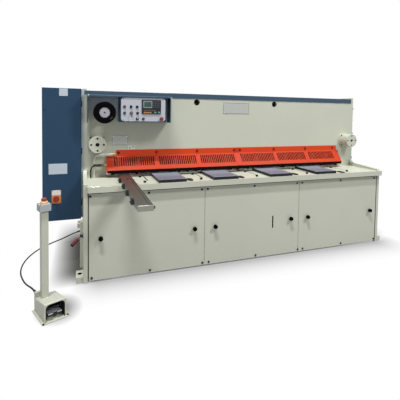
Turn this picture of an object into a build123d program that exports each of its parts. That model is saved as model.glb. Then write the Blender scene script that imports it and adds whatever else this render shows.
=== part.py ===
from build123d import *
from math import cos, pi, radians, sin, tan
import os

# A hydraulic shearing machine: two side frames joined by a front plate and a bed,
# a work table with a finger guard over the cutting line, a control niche, a wall-hung
# electrical cabinet and a foot control on its own pedestal.
# Millimetres. +Z is up, the front faces -Y, and +X is the right hand of someone in front.
# The origin lies on the floor, in the middle of the four anchor holes.

os.makedirs("parts", exist_ok=True)


def save(piece, name):
    piece.part.label = name
    export_step(piece.part, "parts/" + name + ".step")


# ---- side frames
frame_width = 3660       # over the outer faces of the side frames
frame_height = 1900
plate_t = 40             # side frame plate
frame_front = -930       # front edge of the side frames below the table
frame_rear = 930
upper_front = -435       # front edge of the side frames above the table
upper_rear = 620
step_rise = 50           # the lower part's top edge over the table, at the front plate
step_front_rise = 18     # the same at the front corner
step_radius = 60
base_relief = 50         # height of the relief between the feet
relief_half = 560
inner = frame_width / 2 - plate_t
outer = frame_width / 2

# ---- anchor feet
foot_width = 68
foot_length = 164
foot_height = 60
foot_inset = 18          # from the side frame's end to the foot
anchor_d = 30
anchor_x = outer + foot_width / 2
foot_y = frame_rear - foot_inset - foot_length / 2

# ---- work table
table_top = 940
table_t = 58
table_bottom = table_top - table_t
table_rear = upper_front + 135
lip_t = 35
lip_left = -inner - 10
lip_right = outer + 18
groove_w = 12
groove_depth = 5
groove_x = (-1190, -580, 100, 785, 1392)
groove_back = 65         # from the front plate to the groove's near and far ends
groove_len = 430
screw_d = 22
screw_depth = 10
screw_offset = 45
screw_y = (upper_front + 65, upper_front - 145, upper_front - 440)
end_screw_left = 280     # from the side frames to the first and last screws
end_screw_right = 150
back_screw_x = (end_screw_left - inner, -719, -511, -31, 213, 719, 949, inner - end_screw_right)

# ---- raised pads on the table
pad_x = (-955, -355, 340, 975)
pad_w = 298
pad_l = 437
pad_setback = 23         # from the table's front face to the pads
pad_t = 32

# ---- blades and beams behind the guard
blade_t = 25
blade_h = 80
blade_gap = 0.5          # clearance between the blades
blade_lift = 70          # of the raised upper blade over the table
beam_inset = 230         # from the side frames to the blade beam
beam_half = inner - beam_inset
blade_short = 35         # from the beam's ends to the blades' ends
blade_len = 2 * (beam_half - blade_short)
beam_t = 45
beam_drop = 318          # from the top cover to the blade beam's top
beam_flange = 260
beam_flange_t = 60
hold_depth = 100
hold_lift = 180          # of the hold-down rail over the table
hold_h = 100
plunger_d = 60
plunger_lift = 66
plunger_count = 14
plunger_margin = 117     # from the rail's ends to the first and last plungers
plunger_pitch = 2 * (beam_half - plunger_margin) / (plunger_count - 1)

# ---- upper front plate
front_plate_t = 35
plate_back = upper_front + front_plate_t
throat_inset = 205       # from the side frames to the window that the sheet passes
throat_half = inner - throat_inset
throat_h = 220
lifting_x = 535
lifting_drop = 115
lifting_d = 76
band_t = 5
band_h = 58
top_drop = 16            # from the top of the side frames to the top cover
top_z = frame_height - top_drop
cover_t = 8

# ---- finger guard
guard_inset_left = 212   # from the side frames to the guard's ends
guard_inset_right = 245
guard_shares = (0, 0.17675, 0.33654, 0.50624, 0.67659, 0.83349, 1)
guard_len = 2 * inner - guard_inset_left - guard_inset_right
guard_seam_x = [guard_inset_left - inner + guard_len * share for share in guard_shares]
guard_gap = 4
guard_sheet = 6
guard_lift = 60          # of the guard's foot over the table
guard_foot_h = 20
guard_fold_lift = 225
guard_flange_h = 66
guard_reach = 115
guard_notch = 98         # the first length has no flange over this width
slot_w = 13
slot_pitch = 24
slot_blank = (58, 18, 18, 34, 18, 18, 76)    # plain metal on each side of a seam, and at the ends
slot_low = 60            # of the slots over the guard's bottom edge
slot_high = 152
guard_back = upper_front
guard_toe_y = guard_back - guard_reach
guard_bottom = table_top + guard_lift
guard_toe_z = guard_bottom + guard_foot_h
guard_fold_z = table_top + guard_fold_lift
guard_top = guard_fold_z + guard_flange_h
bracket_t = 10

# ---- blank plates on the front plate
plate_sheet = 2
upper_plate_drop = 162   # from the top cover to the upper plate's middle
left_plate_inset = 352
left_plate_rise = 111    # over the guard
plate_at = (
    (-14, top_z - upper_plate_drop, 362, 143),
    (left_plate_inset - inner, guard_top + left_plate_rise, 176, 115),
)

# ---- covers
cover_count = 3
cover_sheet = 8
cover_bottom = 20
cover_clear = 5          # under the table
cover_seam = 6
knob_d = 45
knob_len = 40
knob_inset = 118
knob_z = 431
slit_x = 245
slit_w = 18
slit_h = 148
slit_z = 408
cover_top = table_bottom - cover_clear
rib_t = 25
beam_foot = 120

# ---- rear
rear_plate_lift = 60     # of the rear plate over the table
slide_drop = 120         # of the slide's top end under the table
slide_fall = 260
slide_t = 6

# ---- round flanges on the front plate
flange_inset = 104       # from the side frame to the flange's axis
flange_z = 1306
flange_d = 180
flange_len = 150
flange_base_d = 206
flange_base_t = 18
flange_bore = 42
flange_hole_d = 22
flange_hole_r = 64
flange_bolt_r = 93
flange_x = inner - flange_inset

# ---- control niche
hood_w = 892
hood_depth = 210
hood_h = 342
hood_fall = 14           # the canopy's top falls by this to the front
fascia_h = 55
hood_sheet = 5
hood_left = -inner
hood_right = hood_left + hood_w
hood_front = upper_front - hood_depth
hood_bottom = top_z - hood_h
panel_w = 479
panel_h = 254
panel_inset = 74         # from the right cheek to the panel
panel_lift = 16          # of the panel over the cheeks' bottom edge
panel_t = 8
panel_margin = 8
panel_clip = 22
panel_depth = 202
panel_right = hood_right - panel_inset
panel_left = panel_right - panel_w
panel_bottom = hood_bottom + panel_lift
panel_top = panel_bottom + panel_h
panel_front = upper_front - panel_depth
display_w = 209
display_h = 151
display_t = 9
button_d = 30
button_h = 6
cap_h = 7
stem_d = 10
stop_d = 42
stop_h = 16
stop_travel = 5
collar_h = 10
play = 0.3               # running clearance of stems, pins and shafts

# ---- handwheel
wheel_inset = 170        # from the left cheek to the wheel's axis
wheel_rise = 106         # of the wheel's axis over the cheeks' bottom edge
wheel_d = 226
wheel_hub_d = 122
wheel_t = 34
wheel_out = 233          # of the wheel's middle in front of the front plate
dial_t = 3
shaft_d = 24
knob_turn = -42
knob_r = 84
wheel_x = hood_left + wheel_inset
wheel_z = hood_bottom + wheel_rise
wheel_y = upper_front - wheel_out

# ---- electrical cabinet
cabinet_w = 381
cabinet_h = 1392
cabinet_depth = 280
cabinet_sheet = 4
cabinet_clear = 18       # from the side frame
cabinet_out = 42         # in front of the front plate
cabinet_drop = 3
door_t = 16
door_gap = 2
hinge_d = 10
hinge_h = 34
cabinet_right = -outer - cabinet_clear
cabinet_left = cabinet_right - cabinet_w
cabinet_top = frame_height - cabinet_drop
cabinet_bottom = cabinet_top - cabinet_h
cabinet_front = upper_front - cabinet_out
switch_inset = 135
switch_rise = 255
duct_w = 32
duct_l = 90
duct_out = 110           # in front of the front plate
duct_foot = 12
duct_clear = 7           # under the door

# ---- squaring arm
arm_inset = 320          # from the left side frame to the arm
arm_left = -inner + arm_inset
arm_w = 118
arm_l = 1410
arm_setback = 45         # from the front plate to the arm's far end
arm_t = 42
stop_pad_w = 22
stop_pad_l = 40
stop_pad_at = (347, 641, 914, 1206)

# ---- guard services and hand lever
pipe_d = 20
pipe_inset = 72
pipe_out = 35
pipe_lift = 250
hose_d = 14
hose_inset = 38
hose_lift = 136
hose_out = 50            # behind the guard's foot
lever_out = 20
lever_y = -829
lever_z = 436
lever_len = 118
lever_drop = 45

# ---- foot control
pedestal_x = -2085
pedestal_y = -1352
pedestal_turn = 23
base_w = 216
base_l = 262
base_t = 8
housing_w = 172
housing_l = 242
housing_shift = -6       # of the housing to the left of the base plate's middle
housing_front_h = 150
housing_back_h = 110
housing_round = 10
mouth_w = 150
mouth_h = 138
mouth_r = 34
mouth_depth = 190
column_w = 52
column_x = -34
column_y = 50
column_top = 850
head_w = 90
head_l = 84
head_h = 54
head_collar_d = 60
head_collar_h = 22
pedal_w = 110
pedal_l = 92
pedal_t = 8
pedal_z = 52
pin_d = 10
pin_back = 96            # from the mouth to the pin
gland_box_w = 40
gland_box_l = 26
gland_box_h = 156

# ---- cable
cable_d = 14
gland_d = 26
gland_len = 28
gland_y = 448
gland_z = 60
end_gland_z = 140
cable_floor = cable_d / 2 + 0.3

pc = cos(radians(pedestal_turn))
ps = sin(radians(pedestal_turn))


def turned(x, y):
    """A point of the pedestal's own layout, in machine coordinates."""
    return (pedestal_x + x * pc - y * ps, pedestal_y + x * ps + y * pc)


def pedestal_plane(z):
    return Plane((pedestal_x, pedestal_y, z), x_dir=(pc, ps, 0), z_dir=(0, 0, 1))


# ---- side frames, deeper below the table than above it
step_back = table_top + step_rise
step_front = table_top + step_front_rise
with BuildPart() as side_frames:
    for side in (-1, 1):
        with BuildSketch(Plane.YZ.offset(side * inner)):
            with BuildLine():
                Polyline(
                    (frame_front, 0),
                    (frame_front, step_front),
                    (upper_front, step_back),
                    (upper_front, frame_height),
                    (upper_rear, frame_height),
                    (upper_rear, step_back),
                    (frame_rear, step_front),
                    (frame_rear, 0),
                    (relief_half, 0),
                    (relief_half, base_relief),
                    (-relief_half, base_relief),
                    (-relief_half, 0),
                    close=True,
                )
            make_face()
        extrude(amount=side * plate_t)
    corners = side_frames.edges().filter_by(Axis.X)
    fillet(corners.filter_by_position(Axis.Z, step_back - 1, step_back + 1), step_radius)
save(side_frames, "side_frames")

# ---- anchor feet, one block at each end of both side frames
foot_at = [(x, y) for x in (-anchor_x, anchor_x) for y in (-foot_y, foot_y)]
with BuildPart() as feet:
    with Locations(*foot_at):
        Box(foot_width, foot_length, foot_height, align=(Align.CENTER, Align.CENTER, Align.MIN))
    with Locations(*[(x, y, foot_height) for x, y in foot_at]):
        Hole(anchor_d / 2)
save(feet, "anchor_feet")

# ---- bed: a vertical beam under the cutting line with ribs forward to the covers
rib_x = [-inner + rib_t / 2, -inner / 3, inner / 3, inner - rib_t / 2]
rib_front = frame_front + cover_sheet
bed_t = 40
with BuildPart() as bed:
    with BuildSketch(Plane.XY.offset(beam_foot)):
        with Locations((0, table_rear - bed_t / 2)):
            Rectangle(2 * inner, bed_t)
    extrude(amount=table_bottom - beam_foot)
    for x in rib_x:
        with BuildSketch(Plane.YZ.offset(x - rib_t / 2)):
            with BuildLine():
                Polyline(
                    (rib_front, cover_bottom),
                    (rib_front, table_bottom),
                    (table_rear - bed_t, table_bottom),
                    (table_rear - bed_t, beam_foot),
                    (rib_front + 200, cover_bottom),
                    close=True,
                )
            make_face()
        extrude(amount=rib_t)
save(bed, "bed_beam")

# ---- work table with front lip, grooves and screw recesses
screw_at = [(x - screw_offset, y) for x in groove_x for y in screw_y]
screw_at += [(x, upper_front + 90) for x in back_screw_x]
with BuildPart() as table:
    with BuildSketch(Plane.XY.offset(table_bottom)):
        with Locations((0, (frame_front + table_rear) / 2)):
            Rectangle(2 * inner, table_rear - frame_front)
    extrude(amount=table_t)
    with BuildSketch(Plane.XY.offset(table_bottom)):
        with Locations(((lip_left + lip_right) / 2, frame_front - lip_t / 2)):
            Rectangle(lip_right - lip_left, lip_t)
    extrude(amount=table_t)
    fillet(table.edges().filter_by(Axis.Z).group_by(Axis.Y)[0], lip_t * 0.55)
    with BuildSketch(Plane.XY.offset(table_top)):
        for x in groove_x:
            with Locations((x, upper_front + groove_back - groove_len / 2)):
                SlotOverall(groove_len, groove_w, rotation=90)
        with Locations(*screw_at):
            Circle(screw_d / 2)
    extrude(amount=-groove_depth, mode=Mode.SUBTRACT)
    with BuildSketch(Plane.XY.offset(table_top)):
        with Locations(*screw_at):
            Circle(screw_d / 2)
    extrude(amount=-screw_depth, mode=Mode.SUBTRACT)
save(table, "work_table")

# ---- polished pads that carry the sheet
pad_front = frame_front - lip_t + pad_setback
with BuildPart() as pads:
    with BuildSketch(Plane.XY.offset(table_top)):
        for x in pad_x:
            with Locations((x, pad_front + pad_l / 2)):
                Rectangle(pad_w, pad_l)
    extrude(amount=pad_t)
    fillet(pads.edges().group_by(Axis.Z)[-1], 3)
save(pads, "table_pads")

# ---- lower and upper blades
shear_y = table_rear + blade_t + blade_gap
upper_blade_z = table_top + blade_lift
with BuildPart() as blades:
    for z, y in ((table_top - blade_h, table_rear), (upper_blade_z, shear_y)):
        with BuildSketch(Plane.XY.offset(z)):
            with Locations((0, y + blade_t / 2)):
                Rectangle(blade_len, blade_t)
        extrude(amount=blade_h)
save(blades, "blades")

# ---- blade beam, a plate with a top flange behind the upper blade
beam_front = shear_y + blade_t
beam_bottom = upper_blade_z + 6
beam_top = top_z - beam_drop
beam_h = beam_top - beam_bottom
with BuildPart() as beam:
    with BuildSketch(Plane.YZ.offset(-beam_half)):
        with BuildLine():
            Polyline(
                (beam_front, beam_bottom),
                (beam_front, beam_top),
                (beam_front + beam_flange, beam_top),
                (beam_front + beam_flange, beam_top - beam_flange_t),
                (beam_front + beam_t, beam_top - beam_flange_t),
                (beam_front + beam_t, beam_bottom),
                close=True,
            )
        make_face()
    extrude(amount=2 * beam_half)
save(beam, "blade_beam")

# ---- slide ways between the blade beam and the side frames
with BuildPart() as ways:
    for side in (-1, 1):
        with BuildSketch(Plane.XY.offset(beam_bottom)):
            with Locations((side * (inner + beam_half) / 2, beam_front + beam_flange / 2)):
                Rectangle(inner - beam_half, beam_flange)
        extrude(amount=beam_h)
save(ways, "slide_ways")

# ---- hold-down rail and its plungers
hold_bottom = table_top + hold_lift
hold_mid = plate_back + hold_depth / 2
plunger_first = -plunger_pitch * (plunger_count - 1) / 2
plunger_at = [(plunger_first + i * plunger_pitch, hold_mid) for i in range(plunger_count)]
with BuildPart() as hold_rail:
    with BuildSketch(Plane.XY.offset(hold_bottom)):
        with Locations((0, hold_mid)):
            Rectangle(2 * beam_half, hold_depth)
    extrude(amount=hold_h)
save(hold_rail, "hold_down_rail")

with BuildPart() as plungers:
    with BuildSketch(Plane.XY.offset(table_top + plunger_lift)):
        with Locations(*plunger_at):
            Circle(plunger_d / 2)
    extrude(amount=hold_lift - plunger_lift)
save(plungers, "hold_down_plungers")

# ---- upper front plate with the throat below and the lifting holes above
with BuildPart() as front_plate:
    with BuildSketch(Plane.XZ.offset(-plate_back)):
        with Locations((0, (table_top + top_z - cover_t) / 2)):
            Rectangle(2 * inner, top_z - cover_t - table_top)
        with Locations((0, table_top + throat_h / 2)):
            Rectangle(2 * throat_half, throat_h, mode=Mode.SUBTRACT)
        with Locations((-lifting_x, frame_height - lifting_drop), (lifting_x, frame_height - lifting_drop)):
            Circle(lifting_d / 2, mode=Mode.SUBTRACT)
    extrude(amount=front_plate_t)
save(front_plate, "upper_front_plate")

# ---- blue band along the top of the front plate, right of the niche
with BuildPart() as band:
    with BuildSketch(Plane.XZ.offset(-upper_front)):
        with Locations(((hood_right + inner) / 2, top_z - band_h / 2)):
            Rectangle(inner - hood_right, band_h)
    extrude(amount=band_t)
save(band, "top_band")

# ---- top cover
with BuildPart() as top_cover:
    with BuildSketch(Plane.XY.offset(top_z - cover_t)):
        with Locations((0, (upper_front + upper_rear) / 2)):
            Rectangle(2 * inner, upper_rear - upper_front)
    extrude(amount=cover_t)
save(top_cover, "top_cover")

# ---- rear plate, offcut slide and rear covers
rear_plate_bottom = table_top + rear_plate_lift
with BuildPart() as rear_plate:
    with BuildSketch(Plane.XZ.offset(-upper_rear)):
        with Locations((0, (rear_plate_bottom + top_z - cover_t) / 2)):
            Rectangle(2 * inner, top_z - cover_t - rear_plate_bottom)
    extrude(amount=front_plate_t)
save(rear_plate, "rear_plate")

slide_top = table_top - slide_drop
slide_low = slide_top - slide_fall
slide_end = frame_rear - cover_sheet
with BuildPart() as slide:
    with BuildSketch(Plane.YZ.offset(-inner)):
        with BuildLine():
            Polyline(
                (table_rear, slide_top),
                (slide_end, slide_low),
                (slide_end, slide_low - slide_t),
                (table_rear, slide_top - slide_t),
                close=True,
            )
        make_face()
    extrude(amount=2 * inner)
save(slide, "offcut_slide")

cover_pitch = 2 * inner / cover_count
cover_x = [-inner + cover_pitch * (i + 0.5) for i in range(cover_count)]
with BuildPart() as front_covers:
    with BuildSketch(Plane.XZ.offset(-frame_front - cover_sheet)):
        with Locations(*[(x, (cover_bottom + cover_top) / 2) for x in cover_x]):
            Rectangle(cover_pitch - cover_seam, cover_top - cover_bottom)
        with Locations((slit_x, slit_z)):
            SlotOverall(slit_h, slit_w, rotation=90, mode=Mode.SUBTRACT)
    extrude(amount=cover_sheet)
save(front_covers, "front_covers")

rear_cover_top = slide_low - slide_t
with BuildPart() as rear_covers:
    with BuildSketch(Plane.XZ.offset(-frame_rear)):
        with Locations(*[(x, (cover_bottom + rear_cover_top) / 2) for x in cover_x]):
            Rectangle(cover_pitch - cover_seam, rear_cover_top - cover_bottom)
    extrude(amount=cover_sheet)
save(rear_covers, "rear_covers")

knob_at = [(x + side * (cover_pitch / 2 - knob_inset), knob_z) for x in cover_x for side in (-1, 1)]
with BuildPart() as knobs:
    with BuildSketch(Plane.XZ.offset(-frame_front)):
        with Locations(*knob_at):
            Circle(knob_d / 4)
    extrude(amount=knob_len * 0.4)
    with BuildSketch(Plane.XZ.offset(-frame_front + knob_len * 0.4)):
        with Locations(*knob_at):
            Circle(knob_d / 2)
    extrude(amount=knob_len * 0.6)
    fillet(knobs.edges().group_by(Axis.Y)[0], 5)
save(knobs, "cover_knobs")

# ---- finger guard in six folded lengths
with BuildPart() as guard:
    for left, right in zip(guard_seam_x, guard_seam_x[1:]):
        with BuildSketch(Plane.YZ.offset(left + guard_gap / 2)):
            with BuildLine():
                Polyline(
                    (guard_back, guard_top),
                    (guard_back, guard_fold_z - 4),
                    (guard_toe_y + guard_sheet, guard_toe_z - 4),
                    (guard_toe_y + guard_sheet, guard_bottom),
                    (guard_toe_y, guard_bottom),
                    (guard_toe_y, guard_toe_z),
                    (guard_back - guard_sheet, guard_fold_z),
                    (guard_back - guard_sheet, guard_top),
                    close=True,
                )
            make_face()
        extrude(amount=right - left - guard_gap)
    with BuildSketch(Plane.XZ.offset(-guard_back)):
        with Locations((guard_seam_x[0] + guard_notch / 2, guard_fold_z + guard_flange_h / 2)):
            Rectangle(guard_notch, guard_flange_h)
        for i in range(len(guard_seam_x) - 1):
            first = guard_seam_x[i] + slot_blank[i]
            last = guard_seam_x[i + 1] - slot_blank[i + 1]
            count = int((last - first) / slot_pitch)
            for k in range(count):
                x = (first + last) / 2 + (k - (count - 1) / 2) * slot_pitch
                with Locations((x, guard_bottom + (slot_low + slot_high) / 2)):
                    Rectangle(slot_w, slot_high - slot_low)
    extrude(amount=guard_reach + guard_sheet, mode=Mode.SUBTRACT)
save(guard, "finger_guard")

# ---- end brackets that carry the guard
with BuildPart() as brackets:
    for side, x in ((-1, guard_seam_x[0] + guard_gap / 2), (1, guard_seam_x[-1] - guard_gap / 2)):
        with BuildSketch(Plane.YZ.offset(x)):
            with BuildLine():
                Polyline(
                    (guard_back, guard_fold_z + 4),
                    (guard_back, guard_fold_z - 60),
                    (guard_toe_y + 30, guard_bottom - 12),
                    (guard_toe_y, guard_bottom - 12),
                    (guard_toe_y, guard_toe_z + 4),
                    (guard_back - guard_sheet, guard_fold_z + 4),
                    close=True,
                )
            make_face()
        extrude(amount=side * bracket_t)
save(brackets, "guard_brackets")

# ---- round flanges at both ends of the front plate
flange_at = ((-flange_x, flange_z), (flange_x, flange_z))
with BuildPart() as flanges:
    with BuildSketch(Plane.XZ.offset(-upper_front)):
        with Locations(*flange_at):
            Circle(flange_base_d / 2)
    extrude(amount=flange_base_t)
    with BuildSketch(Plane.XZ.offset(-upper_front + flange_base_t)):
        with Locations(*flange_at):
            Circle(flange_d / 2)
    extrude(amount=flange_len - flange_base_t)
    chamfer(flanges.edges().group_by(Axis.Y)[0], 4)
    with BuildSketch(Plane.XZ.offset(-upper_front + flange_len)):
        with Locations(*flange_at):
            Circle(flange_bore / 2)
            with PolarLocations(flange_hole_r, 4):
                Circle(flange_hole_d / 2)
    extrude(amount=-30, mode=Mode.SUBTRACT)
    with BuildSketch(Plane.XZ.offset(-upper_front + flange_base_t)):
        with Locations(*flange_at):
            with PolarLocations(flange_bolt_r, 4, start_angle=45):
                Circle(6)
    extrude(amount=7)
save(flanges, "round_flanges")

# ---- control niche: a sloping canopy with a fascia and two cheeks
with BuildPart() as hood:
    with BuildSketch(Plane.YZ.offset(hood_left)):
        with BuildLine():
            Polyline(
                (upper_front, top_z),
                (hood_front, top_z - hood_fall),
                (hood_front, top_z - hood_fall - fascia_h),
                (hood_front + hood_sheet, top_z - hood_fall - fascia_h),
                (hood_front + hood_sheet, top_z - hood_fall - hood_sheet),
                (upper_front, top_z - hood_sheet),
                close=True,
            )
        make_face()
    extrude(amount=hood_w)
    for x in (hood_left, hood_right - hood_sheet):
        with BuildSketch(Plane.YZ.offset(x)):
            with BuildLine():
                Polyline(
                    (upper_front, top_z),
                    (hood_front, top_z - hood_fall),
                    (hood_front, hood_bottom),
                    (upper_front, hood_bottom),
                    close=True,
                )
            make_face()
        extrude(amount=hood_sheet)
save(hood, "control_hood")

# ---- control box and its front panel with clipped corners
panel_mid = ((panel_left + panel_right) / 2, (panel_top + panel_bottom) / 2)
with BuildPart() as console:
    with BuildSketch(Plane.XZ.offset(-upper_front)):
        with Locations(panel_mid):
            Rectangle(panel_w + 2 * panel_margin, panel_h + 2 * panel_margin)
    extrude(amount=panel_depth - panel_t)
save(console, "control_box")

with BuildPart() as panel:
    with BuildSketch(Plane.XZ.offset(-panel_front - panel_t)):
        with Locations(panel_mid):
            Rectangle(panel_w, panel_h)
        chamfer(vertices(), panel_clip)
    extrude(amount=panel_t)
save(panel, "control_panel")

# ---- display unit
with BuildPart() as display:
    with BuildSketch(Plane.XZ.offset(-panel_front)):
        with Locations((panel_right - 51 - display_w / 2, panel_top - 20 - display_h / 2)):
            Rectangle(display_w, display_h)
    extrude(amount=display_t)
    fillet(display.edges().filter_by(Axis.Y), 5)
save(display, "display_unit")

# ---- controls, placed from the panel's top left corner
def on_panel(right, down):
    return (panel_left + right, panel_top - down)


button_at = (on_panel(36, 98), on_panel(105, 98), on_panel(169, 98),
             on_panel(38, 165), on_panel(174, 165), on_panel(237, 227))
with BuildPart() as buttons:
    with BuildSketch(Plane.XZ.offset(-panel_front)):
        with Locations(*button_at):
            Circle(button_d / 2)
    extrude(amount=button_h)
    with BuildSketch(Plane.XZ.offset(-panel_front + button_h)):
        with Locations(*button_at):
            Circle(button_d / 2 - 4)
    extrude(amount=cap_h)
save(buttons, "push_buttons")

# ---- emergency stop: fixed collar and moving mushroom with its stem
stop_at = on_panel(432, 226)
with BuildPart() as collar:
    with BuildSketch(Plane.XZ.offset(-panel_front)):
        with Locations(stop_at):
            Circle(stop_d / 2 - 5)
            Circle(stem_d / 2 + play, mode=Mode.SUBTRACT)
    extrude(amount=collar_h)
save(collar, "stop_collar")

with BuildPart() as stop:
    with BuildSketch(Plane.XZ.offset(-panel_front + collar_h + stop_travel + play)):
        with Locations(stop_at):
            Circle(stop_d / 2)
    extrude(amount=stop_h)
    fillet(stop.edges().group_by(Axis.Y)[0], 7)
    with BuildSketch(Plane.XZ.offset(-panel_front + stop_travel + play)):
        with Locations(stop_at):
            Circle(stem_d / 2)
    extrude(amount=collar_h)
save(stop, "stop_button")

# ---- key switch and selector, both turn on the panel
key_at = on_panel(109, 165)
with BuildPart() as key_switch:
    with BuildSketch(Plane.XZ.offset(-panel_front + play)):
        with Locations(key_at):
            Circle(button_d / 2)
    extrude(amount=10)
    with BuildSketch(Plane.XZ.offset(-panel_front + play + 10)):
        with Locations(key_at):
            Rectangle(3, 18)
    extrude(amount=26)
save(key_switch, "key_switch")

selector_at = on_panel(172, 227)
with BuildPart() as selector:
    with BuildSketch(Plane.XZ.offset(-panel_front + play)):
        with Locations(selector_at):
            Circle(button_d / 2)
    extrude(amount=9)
    with BuildSketch(Plane.XZ.offset(-panel_front + play + 9)):
        with Locations(selector_at):
            Rectangle(9, 27)
    extrude(amount=12)
save(selector, "selector_knob")

# ---- handwheel for the blade gap, with its dial and knob, on a bearing in the niche
bearing_plate = 60
bearing_w = 190
bearing_h = 150
bearing_front = wheel_y + wheel_t / 2 + 23
with BuildPart() as bearing:
    with BuildSketch(Plane.XZ.offset(-upper_front)):
        with Locations((wheel_x, wheel_z)):
            Rectangle(bearing_w, bearing_h)
    extrude(amount=bearing_plate)
    with BuildSketch(Plane.XZ.offset(-upper_front + bearing_plate)):
        with Locations((wheel_x, wheel_z)):
            Circle(40)
    extrude(amount=upper_front - bearing_plate - bearing_front)
    with BuildSketch(Plane.XZ.offset(-bearing_front)):
        with Locations((wheel_x, wheel_z)):
            Circle(shaft_d / 2 + play)
    extrude(amount=-60, mode=Mode.SUBTRACT)
save(bearing, "wheel_bearing")

with BuildPart() as wheel:
    with BuildSketch(Plane.XZ.offset(-wheel_y)):
        with Locations((wheel_x, wheel_z)):
            Circle(wheel_d / 2)
            Circle(wheel_hub_d / 2, mode=Mode.SUBTRACT)
    extrude(amount=wheel_t / 2, both=True)
    fillet(wheel.edges(), wheel_t * 0.3)
    with BuildSketch(Plane.XZ.offset(-wheel_y - wheel_t / 2 + 4)):
        with Locations((wheel_x, wheel_z)):
            Circle(wheel_hub_d / 2 + 6)
    extrude(amount=wheel_t - 14)
    with BuildSketch(Plane.XZ.offset(-bearing_front - 55)):
        with Locations((wheel_x, wheel_z)):
            Circle(shaft_d / 2)
    extrude(amount=bearing_front - wheel_y + 55)
save(wheel, "handwheel")

dial_back = -wheel_y + wheel_t / 2 - 10
knob_at_x = wheel_x + knob_r * cos(radians(knob_turn))
knob_at_z = wheel_z + knob_r * sin(radians(knob_turn))
with BuildPart() as trim:
    with BuildSketch(Plane.XZ.offset(-wheel_y + wheel_t / 2)):
        with Locations((knob_at_x, knob_at_z)):
            Circle(8)
    extrude(amount=24)
    fillet(trim.edges().group_by(Axis.Y)[0], 3)
    with BuildSketch(Plane.XZ.offset(dial_back)):
        with Locations((wheel_x, wheel_z)):
            Circle(wheel_hub_d / 2 - 2)
    extrude(amount=dial_t)
save(trim, "wheel_dial_and_knob")

# ---- electrical cabinet, a box open at the front, hung on the left side frame
cabinet_mid = ((cabinet_left + cabinet_right) / 2, (cabinet_top + cabinet_bottom) / 2)
with BuildPart() as cabinet:
    with BuildSketch(Plane.XZ.offset(-cabinet_front - cabinet_depth)):
        with Locations(cabinet_mid):
            Rectangle(cabinet_w, cabinet_h)
    extrude(amount=cabinet_depth)
    with BuildSketch(Plane.XZ.offset(-cabinet_front)):
        with Locations(cabinet_mid):
            Rectangle(cabinet_w - 2 * cabinet_sheet, cabinet_h - 2 * cabinet_sheet)
    extrude(amount=-cabinet_depth + cabinet_sheet, mode=Mode.SUBTRACT)
    for z in (cabinet_bottom + 120, cabinet_top - 160):
        with BuildSketch(Plane.YZ.offset(cabinet_right)):
            with Locations((cabinet_front + cabinet_depth / 2 + 30, z)):
                Rectangle(90, 40)
        extrude(amount=cabinet_clear)
save(cabinet, "electrical_cabinet")

# ---- duct on the side frame, below the cabinet door
with BuildPart() as duct:
    with BuildSketch(Plane.XY.offset(duct_foot)):
        with Locations((-outer - duct_w / 2, upper_front - duct_out)):
            Rectangle(duct_w, duct_l)
    extrude(amount=cabinet_bottom - duct_clear - duct_foot)
save(duct, "side_duct")

# ---- hinges: the lower halves with their pins on the cabinet, the upper ones on the door
hinge_x = cabinet_right + hinge_d / 2
hinge_y = cabinet_front - door_gap - door_t / 2
hinge_z = [cabinet_bottom + 150, (cabinet_bottom + cabinet_top) / 2, cabinet_top - 190]
leaf_end = cabinet_front + 30
with BuildPart() as hinges:
    for z in hinge_z:
        with BuildSketch(Plane.XY.offset(z)):
            with Locations((hinge_x, hinge_y)):
                Circle(hinge_d / 2)
            with Locations((cabinet_right + 1.5, (hinge_y + leaf_end) / 2)):
                Rectangle(3, leaf_end - hinge_y)
        extrude(amount=hinge_h)
        with BuildSketch(Plane.XY.offset(z + hinge_h)):
            with Locations((hinge_x, hinge_y)):
                Circle(hinge_d / 4)
        extrude(amount=hinge_h)
save(hinges, "door_hinges")

door_front = cabinet_front - door_gap - door_t
with BuildPart() as door:
    with BuildSketch(Plane.XZ.offset(-cabinet_front + door_gap)):
        with Locations(cabinet_mid):
            Rectangle(cabinet_w - 4, cabinet_h - 4)
    extrude(amount=door_t)
    fillet(door.edges().filter_by(Axis.Z).group_by(Axis.Y)[0], 3)
    for z in hinge_z:
        with BuildSketch(Plane.XY.offset(z + hinge_h + play)):
            with Locations((hinge_x, hinge_y)):
                Circle(hinge_d / 2)
            with Locations((cabinet_right - 1, hinge_y)):
                Rectangle(4, 5)
            with Locations((hinge_x, hinge_y)):
                Circle(hinge_d / 4 + play, mode=Mode.SUBTRACT)
        extrude(amount=hinge_h)
save(door, "cabinet_door")

# ---- main switch on the door
switch_x = cabinet_left + switch_inset
switch_z = cabinet_bottom + switch_rise
with BuildPart() as switch_plate:
    with BuildSketch(Plane.XZ.offset(-door_front)):
        with Locations((switch_x, switch_z)):
            Rectangle(90, 140)
    extrude(amount=3)
save(switch_plate, "main_switch_plate")

with BuildPart() as switch_handle:
    with BuildSketch(Plane.XZ.offset(-door_front + 3 + play)):
        with Locations((switch_x, switch_z - 20)):
            Circle(30)
    extrude(amount=14)
    with BuildSketch(Plane.XZ.offset(-door_front + 17 + play)):
        with Locations((switch_x, switch_z - 20)):
            Rectangle(18, 62)
    extrude(amount=18)
save(switch_handle, "main_switch_handle")

# ---- squaring arm with its stops
arm_rear = upper_front - arm_setback
with BuildPart() as arm:
    with BuildSketch(Plane.XY.offset(table_top)):
        with Locations((arm_left + arm_w / 2, arm_rear - arm_l / 2)):
            Rectangle(arm_w, arm_l)
    extrude(amount=arm_t)
    fillet(arm.edges().group_by(Axis.Z)[-1], 3)
save(arm, "squaring_arm")

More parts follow.
